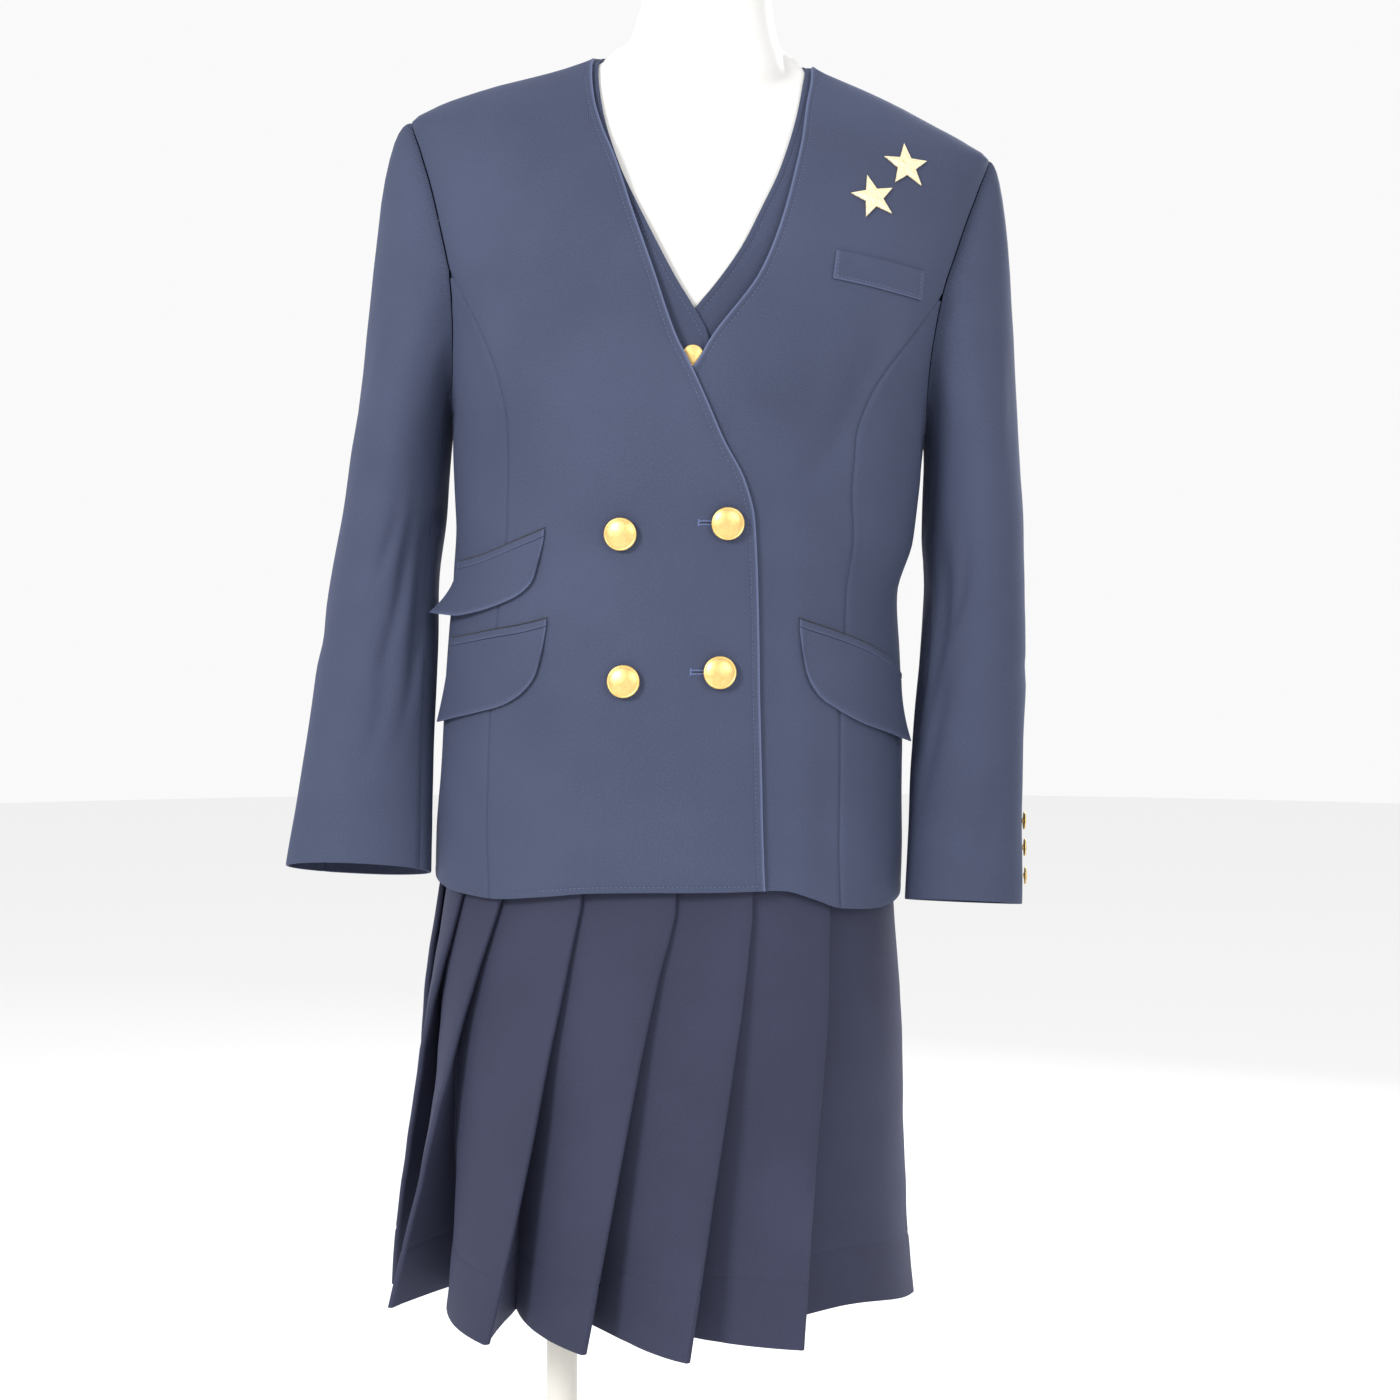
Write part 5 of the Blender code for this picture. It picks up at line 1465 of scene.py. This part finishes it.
def sew(name, paths, tree, spacing, size, thread):
    """Stitches along paths of (point, way out) pairs, as one piece."""
    points, edges, outs = [], [], []
    for path in paths:
        for i, (point, out) in enumerate(path):
            if i:
                edges.append((len(points) - 1, len(points)))
            points.append(LEANING @ point)
            outs.append(LEANING.to_3x3().normalized() @ out)
    mesh = bpy.data.meshes.new(name + "_path")
    mesh.from_pydata(points, edges, [])
    ways = mesh.attributes.new("out", "FLOAT_VECTOR", "POINT").data
    ways.foreach_set("vector", np.array(outs, dtype=np.float32).ravel())
    path = linked(name + "_path", mesh)
    nodes = path.modifiers.new("stitches", "NODES")
    nodes.node_group = tree
    length, width, height = (measure * MM for measure in size)
    values = {
        "Spacing": spacing * MM, "Stitch length": length, "Stitch width": width, "Stitch height": height,
        "Thread": thread,
    }
    for socket in tree.interface.items_tree:
        if socket.in_out == "INPUT" and socket.name in values:
            nodes[socket.identifier] = values[socket.name]
    graph = bpy.context.evaluated_depsgraph_get()
    sewn = bpy.data.meshes.new_from_object(path.evaluated_get(graph))
    bpy.data.objects.remove(path)
    sewn.name = name
    piece = linked(name, sewn)
    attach(piece, "root")
    return piece


# How far topstitches are sunk in the cloth, and how far apart the points of their paths lie.
EDGE_SINK, HEM_SINK = 0.32, 0.3
PATH_STEP = 4


def front_edge_path(column, side, low, high, sunk=flat):
    """The topstitching's line beside a blazer front's free edge."""
    track, path = BLAZER_EDGE[column], []
    slant = slant_of(track)
    for height in subdivided([low, high], PATH_STEP):
        angle = angle_at(track(height) + side * STITCH_INSET * slant(height), height)
        real = blazer_level(angle, height)
        path.append(on_blazer(angle, real, sunk(body_point(angle, real).x, real) - EDGE_SINK))
    return path


def hem_path():
    path = []
    for x in subdivided([62, -88], PATH_STEP):
        angle = angle_at(x, BLAZER_HEM)
        path.append(on_blazer(angle, blazer_level(angle, BLAZER_HEM + STITCH_INSET), -HEM_SINK))
    return path


def vest_edge_path(column, side, lift, low, high):
    track, path = VEST_EDGE[column], []
    slant = slant_of(track)
    for height in subdivided([low, high], PATH_STEP):
        base, out, relief = vest_place(track(height) + side * STITCH_INSET * slant(height), height)
        path.append((base + out * (relief + lift - HEM_SINK), out))
    return path


def welt_paths():
    """Stitch lines beside the ends and along the lower edge of the breast welt."""
    paths = []
    last = BREAST_WELT["lift"].keys[-1]

    def at(column, t):
        x = BREAST_WELT["top_x"](column) * (1 - t) + BREAST_WELT["bottom_x"](column) * t
        height = BREAST_WELT["top_height"](column) * (1 - t) + BREAST_WELT["bottom_height"](column) * t
        return on_blazer(angle_at(x, height), height, LIE_GAP + JET_WALL + 0.1)

    for column in (0.12, last - 0.12):
        paths.append([at(column, t / 8) for t in range(1, 8)])
    paths.append([at(0.15 + (last - 0.3) * i / 20, 0.88) for i in range(21)])
    return paths


def jet_shadow_path(side, rows):
    """The line along the upper edge of a jet, where the pocket was cut open: dark stitches there paint the
    shadow under the jet's standing edge.
    """
    path, last = [], rows["lift"].keys[-1]
    for column in subdivided([0.02, last - 0.02], 0.1):
        x, height = rows["top_x"](column), rows["top_height"](column) + SEAM_GAP + JET_HEIGHT + 0.6
        path.append(on_blazer(angle_at(side * x, height), height, 0.2))
    return path


# Where each buttonhole begins, and how far its lips lie from its slit.
BUTTONHOLES = [(11.5, 1086.0), (10.5, 983.5)]
LIP = 1.15

# Stitches: the spacing, and the length, width and height of each.
TOPSTITCH = (3.2, (2.5, 0.55, 0.4))
WELT_STITCH = (2.6, (2.0, 0.5, 0.35))
LIP_STITCH = (0.62, (0.66, 1.5, 0.55))
# Dark stitches that paint the shade in the buttonhole slits and the shadow along the jets' top edges.
SHADOW_LINE_STITCH = (0.75, (1.3, 1.3, 0.7))


def build_stitching(thread, pale_thread, shadow_line_thread):
    tree = stitching_tree()
    edges = sew("front_edge_topstitching", [
        front_edge_path("over", -1, 822, 1398), hem_path(),
        front_edge_path("under", 1, 1200, 1398, overlap_sink),
    ], tree, *TOPSTITCH, thread)
    vest = sew("vest_edge_topstitching", [
        vest_edge_path("over", -1, VEST_WALL + VEST_OVERLAP_GAP, 1214, 1396),
        vest_edge_path("under", 1, 0.0, 1214, 1396),
    ], tree, *TOPSTITCH, thread)
    welt = sew("breast_welt_stitching", welt_paths(), tree, *WELT_STITCH, thread)
    bars, slits = [], []
    for x, height in BUTTONHOLES:
        def lip(step, rise):
            level = height + rise + step * 0.035
            return on_blazer(angle_at(x + step, level), level, 0.12)

        # The slit's line, where dark stitches paint the shade of the cut.
        def slit(step):
            level = height + step * 0.018
            return on_blazer(angle_at(x + step * 0.5, level), level, 0.16)

        bars += [[lip(step * 0.5, rise) for step in range(27)] for rise in (LIP, -LIP)]
        bars.append([lip(-0.6, rise * 0.5 - 2.2) for rise in range(10)])
        slits.append([slit(step) for step in range(1, 26)])
    holes = sew("buttonhole_stitching", bars, tree, *LIP_STITCH, pale_thread)
    # Painted shade: dark stitches in the slits and along the jets' top edges stand for the shadows in these
    # gaps.
    seams = [jet_shadow_path(side, rows) for side, rows in FLAPS.values()]
    dark = sew("buttonhole_slit_and_jet_edge_shadows", slits + seams, tree, *SHADOW_LINE_STITCH, shadow_line_thread)
    return edges, vest, welt, holes, dark


# ---- Materials --------------------------------------------------------------------------------------------

def colour(code):
    """Linear colour from an sRGB hex code."""
    parts = [int(code[i:i + 2], 16) / 255 for i in (1, 3, 5)]
    return (*[c / 12.92 if c <= 0.04045 else ((c + 0.055) / 1.055) ** 2.4 for c in parts], 1.0)


def new_finish(name, **values):
    """A material with constants on its shader's own sockets."""
    material = bpy.data.materials.new(name)
    material.use_nodes = True
    shader = material.node_tree.nodes["Principled BSDF"]
    for socket, value in values.items():
        shader.inputs[socket.replace("_", " ")].default_value = value
    return material, material.node_tree, shader


# A wave texture of scale 1 repeats each 0.314 units. The rib's spacing is in metres.
WAVE_TURN = 0.314
RIB_SPACING = 0.0009


def mixed(tree, factor, first, second):
    """A colour between two others. Each is an sRGB hex code, a linear colour or a socket."""
    first, second = (colour(tone) if isinstance(tone, str) else tone for tone in (first, second))
    return add(tree, "ShaderNodeMix", {"Factor": factor, 6: first, 7: second}, data_type="RGBA").outputs[2]


def speckle(tree, place, scale, detail, **settings):
    """Fine noise at a place."""
    inputs = {"Vector": place, "Scale": scale, "Detail": detail, **settings}
    return add(tree, "ShaderNodeTexNoise", inputs).outputs["Fac"]


def reckoned(tree, operation, *values):
    """The outcome of an operation on sockets and numbers."""
    return add(tree, "ShaderNodeMath", dict(enumerate(values)), operation=operation).outputs["Value"]


def object_place(tree):
    return add(tree, "ShaderNodeTexCoord").outputs["Object"]


def link_finish(tree, shader, tone, height=None, strength=0.0, distance=0.0):
    """The colour and the bump of a finish."""
    tree.links.new(tone, shader.inputs["Base Color"])
    if height is not None:
        bump = add(tree, "ShaderNodeBump", {"Height": height, "Strength": strength, "Distance": distance})
        tree.links.new(bump.outputs["Normal"], shader.inputs["Normal"])


def wool_twill(name, dark, light, tint):
    """Worsted wool twill: a smooth, dry, nearly matt face with a faint diagonal rib and a soft bloom at
    grazing light. The rib is drawn at twice its real spacing, so that it shows."""
    material, tree, shader = new_finish(name, Roughness=0.82, Sheen_Weight=0.16, Sheen_Roughness=0.45,
                                        Sheen_Tint=colour(tint), Specular_IOR_Level=0.28)
    place = add(tree, "ShaderNodeUVMap", uv_map="cloth").outputs["UV"]
    slanted = add(tree, "ShaderNodeMapping", {"Vector": place, "Rotation": (0, 0, math.radians(-55))})
    rib = add(tree, "ShaderNodeTexWave", {
        "Vector": slanted.outputs["Vector"], "Scale": WAVE_TURN / RIB_SPACING, "Distortion": 0.6,
        "Detail": 1.0, "Detail Scale": 2.0,
    }).outputs["Fac"]
    fibre = speckle(tree, place, 700.0, 3.0, Roughness=0.6)
    bloom = speckle(tree, object_place(tree), 9.0, 3.0, Roughness=0.5)
    grain = reckoned(tree, "MULTIPLY", rib, fibre)
    spread = reckoned(tree, "MULTIPLY_ADD", grain, 0.9, 0.03)
    patch = reckoned(tree, "MULTIPLY_ADD", bloom, 0.5, spread)
    # Painted highlight: places marked along the rolled edges are mixed towards the pale sheen tint.
    painted_highlight = add(tree, "ShaderNodeAttribute", attribute_name="painted_edge_highlight").outputs["Fac"]
    tone = mixed(tree, painted_highlight, mixed(tree, patch, dark, light), tint)
    link_finish(tree, shader, tone, grain, 0.45, 0.0003)
    return material


def spun_thread(name, code, shine):
    """Polyester sewing thread: smooth, a little shiny, and twisted."""
    material, tree, shader = new_finish(name, Roughness=shine, Sheen_Weight=0.2)
    twist = speckle(tree, object_place(tree), 900.0, 1.0)
    link_finish(tree, shader, mixed(tree, twist, code, [c * 1.35 for c in colour(code)]))
    return material


def gold_plate(name):
    """Brass buttons with a satin gold plating: warm, soft highlights, and a faint brushed unevenness."""
    material, tree, shader = new_finish(name, Metallic=1.0, Roughness=0.42)
    cast = speckle(tree, object_place(tree), 420.0, 4.0, Roughness=0.6)
    rough = add(tree, "ShaderNodeMapRange", {"Value": cast, "To Min": 0.36, "To Max": 0.5})
    tree.links.new(rough.outputs["Result"], shader.inputs["Roughness"])
    link_finish(tree, shader, mixed(tree, cast, "#DAAF5B", "#EFD69A"), cast, 0.12, 0.0002)
    return material


def gold_lame(name):
    """Gold lame: a metallic cloth that crinkles into small bright facets."""
    material, tree, shader = new_finish(name, Metallic=0.55, Roughness=0.44, Sheen_Weight=0.2)
    where = object_place(tree)
    facets = add(tree, "ShaderNodeTexVoronoi", {"Vector": where, "Scale": 420.0, "Randomness": 1.0})
    crinkle = speckle(tree, where, 300.0, 4.0, Roughness=0.7, Distortion=1.2)
    both = reckoned(tree, "ADD", facets.outputs["Distance"], crinkle)
    link_finish(tree, shader, mixed(tree, crinkle, "#EACD86", "#FFF8E2"), both, 0.7, 0.0009)
    return material


def smooth_coat(name, tones, drift, peel, bump, **values):
    """A smooth coat, whose tone drifts slowly, with the fine orange peel of its surface."""
    material, tree, shader = new_finish(name, **values)
    where = object_place(tree)
    tone = mixed(tree, speckle(tree, where, *drift), *tones)
    link_finish(tree, shader, tone, speckle(tree, where, *peel), *bump)
    return material


def moulded_shell(name):
    """Glass-fibre shell with a satin white gel coat: nearly white, with a broad soft highlight."""
    return smooth_coat(name, ("#D0CFCC", "#DBDAD8"), (6.0, 4.0), (260.0, 2.0), (0.06, 0.0004),
                       Roughness=0.42, Coat_Weight=0.1, Coat_Roughness=0.4)


def cream_enamel(name):
    """Steel under cream powder coat: warm white, satin, with a fine orange peel."""
    return smooth_coat(name, ("#CCC8BF", "#D6D3CB"), (8.0, 3.0), (520.0, 2.0), (0.1, 0.0003),
                       Roughness=0.36, Coat_Weight=0.2, Coat_Roughness=0.3)


def pale_beech(name):
    """Lacquered beech: pale, with fine even grain."""
    material, tree, shader = new_finish(name, Roughness=0.38, Coat_Weight=0.3, Coat_Roughness=0.25)
    along = add(tree, "ShaderNodeMapping", {"Vector": object_place(tree), "Scale": (1.0, 14.0, 14.0)})
    grain = speckle(tree, along.outputs["Vector"], 26.0, 6.0, Roughness=0.62, Distortion=0.4)
    link_finish(tree, shader, mixed(tree, grain, "#B98F5E", "#E3C79C"), grain, 0.12, 0.0003)
    return material


# ---- Hiding the CAD sheets, stage and camera --------------------------------------------------------------


def declare_sheets(pieces):
    for node, piece in pieces.items():
        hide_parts(node)


# Each soft box: its place, its size and its power. All aim at the blazer.
SOFT_BOXES = {
    "soft_box_left": ((-1.9, -2.5, 2.3), 0.9, 84),
    "soft_box_right": ((1.7, -2.7, 2.1), 1.6, 34),
    "soft_box_back": ((1.3, 2.6, 2.1), 1.4, 52),
}
LIGHT_AIM = Vector((0, 0, 1.05))
AIR_BRIGHTNESS = 0.95
FLOOR_RADIUS, FLOOR_LEVEL, FLOOR_SIDES = 9.0, -0.0006, 96

# The camera, in the photo's pixels: its width, the focal length, and its middle's depth below the horizon.
PHOTO_WIDTH, FOCAL_LENGTH, HORIZON = 1400, 2877, 190
SENSOR_WIDTH = 36
EYE = (0.0175, -2.1, 1.094)


def build_stage():
    """A plain pale floor and soft, even studio light."""
    floor_mesh = bpy.data.meshes.new("studio_floor")
    floor_mesh.from_pydata(circle(FLOOR_RADIUS, FLOOR_LEVEL, FLOOR_SIDES), [], [list(range(FLOOR_SIDES))])
    floor = linked("studio_floor", floor_mesh)
    paint, _, _ = new_finish("white studio floor paint", Base_Color=colour("#F4F4F4"), Roughness=0.9,
                             Specular_IOR_Level=0.0)
    floor_mesh.materials.append(paint)
    world = bpy.data.worlds.new("studio_air")
    bpy.context.scene.world = world
    world.use_nodes = True
    air = world.node_tree.nodes["Background"]
    air.inputs["Color"].default_value = (1.0, 1.0, 1.0, 1.0)
    air.inputs["Strength"].default_value = AIR_BRIGHTNESS
    for name, (place, size, power) in SOFT_BOXES.items():
        light = bpy.data.lights.new(name, "AREA")
        light.shape = "DISK"
        light.size = size
        light.energy = power
        lamp = linked(name, light)
        lamp.location = place
        lamp.rotation_euler = (LIGHT_AIM - Vector(place)).to_track_quat("-Z", "Y").to_euler()


def set_camera():
    """The photo's camera, level but for its tilt. The Standard view keeps white surroundings white."""
    bpy.context.scene.view_settings.view_transform = "Standard"
    camera = bpy.data.cameras.new("photo_camera")
    camera.sensor_width = SENSOR_WIDTH
    camera.lens = SENSOR_WIDTH * FOCAL_LENGTH / PHOTO_WIDTH
    viewer = linked("photo_camera", camera)
    viewer.location = EYE
    viewer.rotation_euler = (math.radians(90) - math.atan(HORIZON / FOCAL_LENGTH), 0, 0)
    bpy.context.scene.camera = viewer


def main():
    set_camera()
    build_stage()
    blazer_wool = wool_twill("blazer navy worsted twill", "#242A3C", "#484F68", "#8F9CC8")
    vest_wool = wool_twill("vest navy worsted twill", "#23293B", "#464D66", "#8F9CC8")
    skirt_wool = wool_twill("skirt dark navy worsted twill", "#1D202F", "#383B52", "#868CB6")
    brass = gold_plate("satin gold plated brass")
    lame = gold_lame("gold lame")
    thread = spun_thread("navy polyester thread", "#414A67", 0.55)
    pale_thread = spun_thread("light blue buttonhole thread", "#4E5D88", 0.5)
    # A dark thread that paints shadow lines at the buttonhole slits and along the jets.
    shadow_line_thread = spun_thread("dark navy thread painting shadow lines", "#14161F", 0.8)

    pieces = build_blazer_body(blazer_wool)
    pieces |= build_sleeves(blazer_wool, brass)
    pieces |= build_pockets(blazer_wool)
    pieces |= build_stars(lame)
    pieces |= build_vest(vest_wool, brass)
    pieces |= build_skirt(skirt_wool)
    build_front_buttons(brass)
    build_form(moulded_shell("white gel-coated shell"), pale_beech("lacquered beech"))
    build_stand(cream_enamel("cream powder coat"))
    allowances = build_seam_allowances(blazer_wool)
    edges, vest_stitches, welt_stitches, holes, dark = build_stitching(thread, pale_thread, shadow_line_thread)
    for piece in (edges, welt_stitches, holes, dark, *allowances.values()):
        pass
    declare_sheets(pieces)


main()
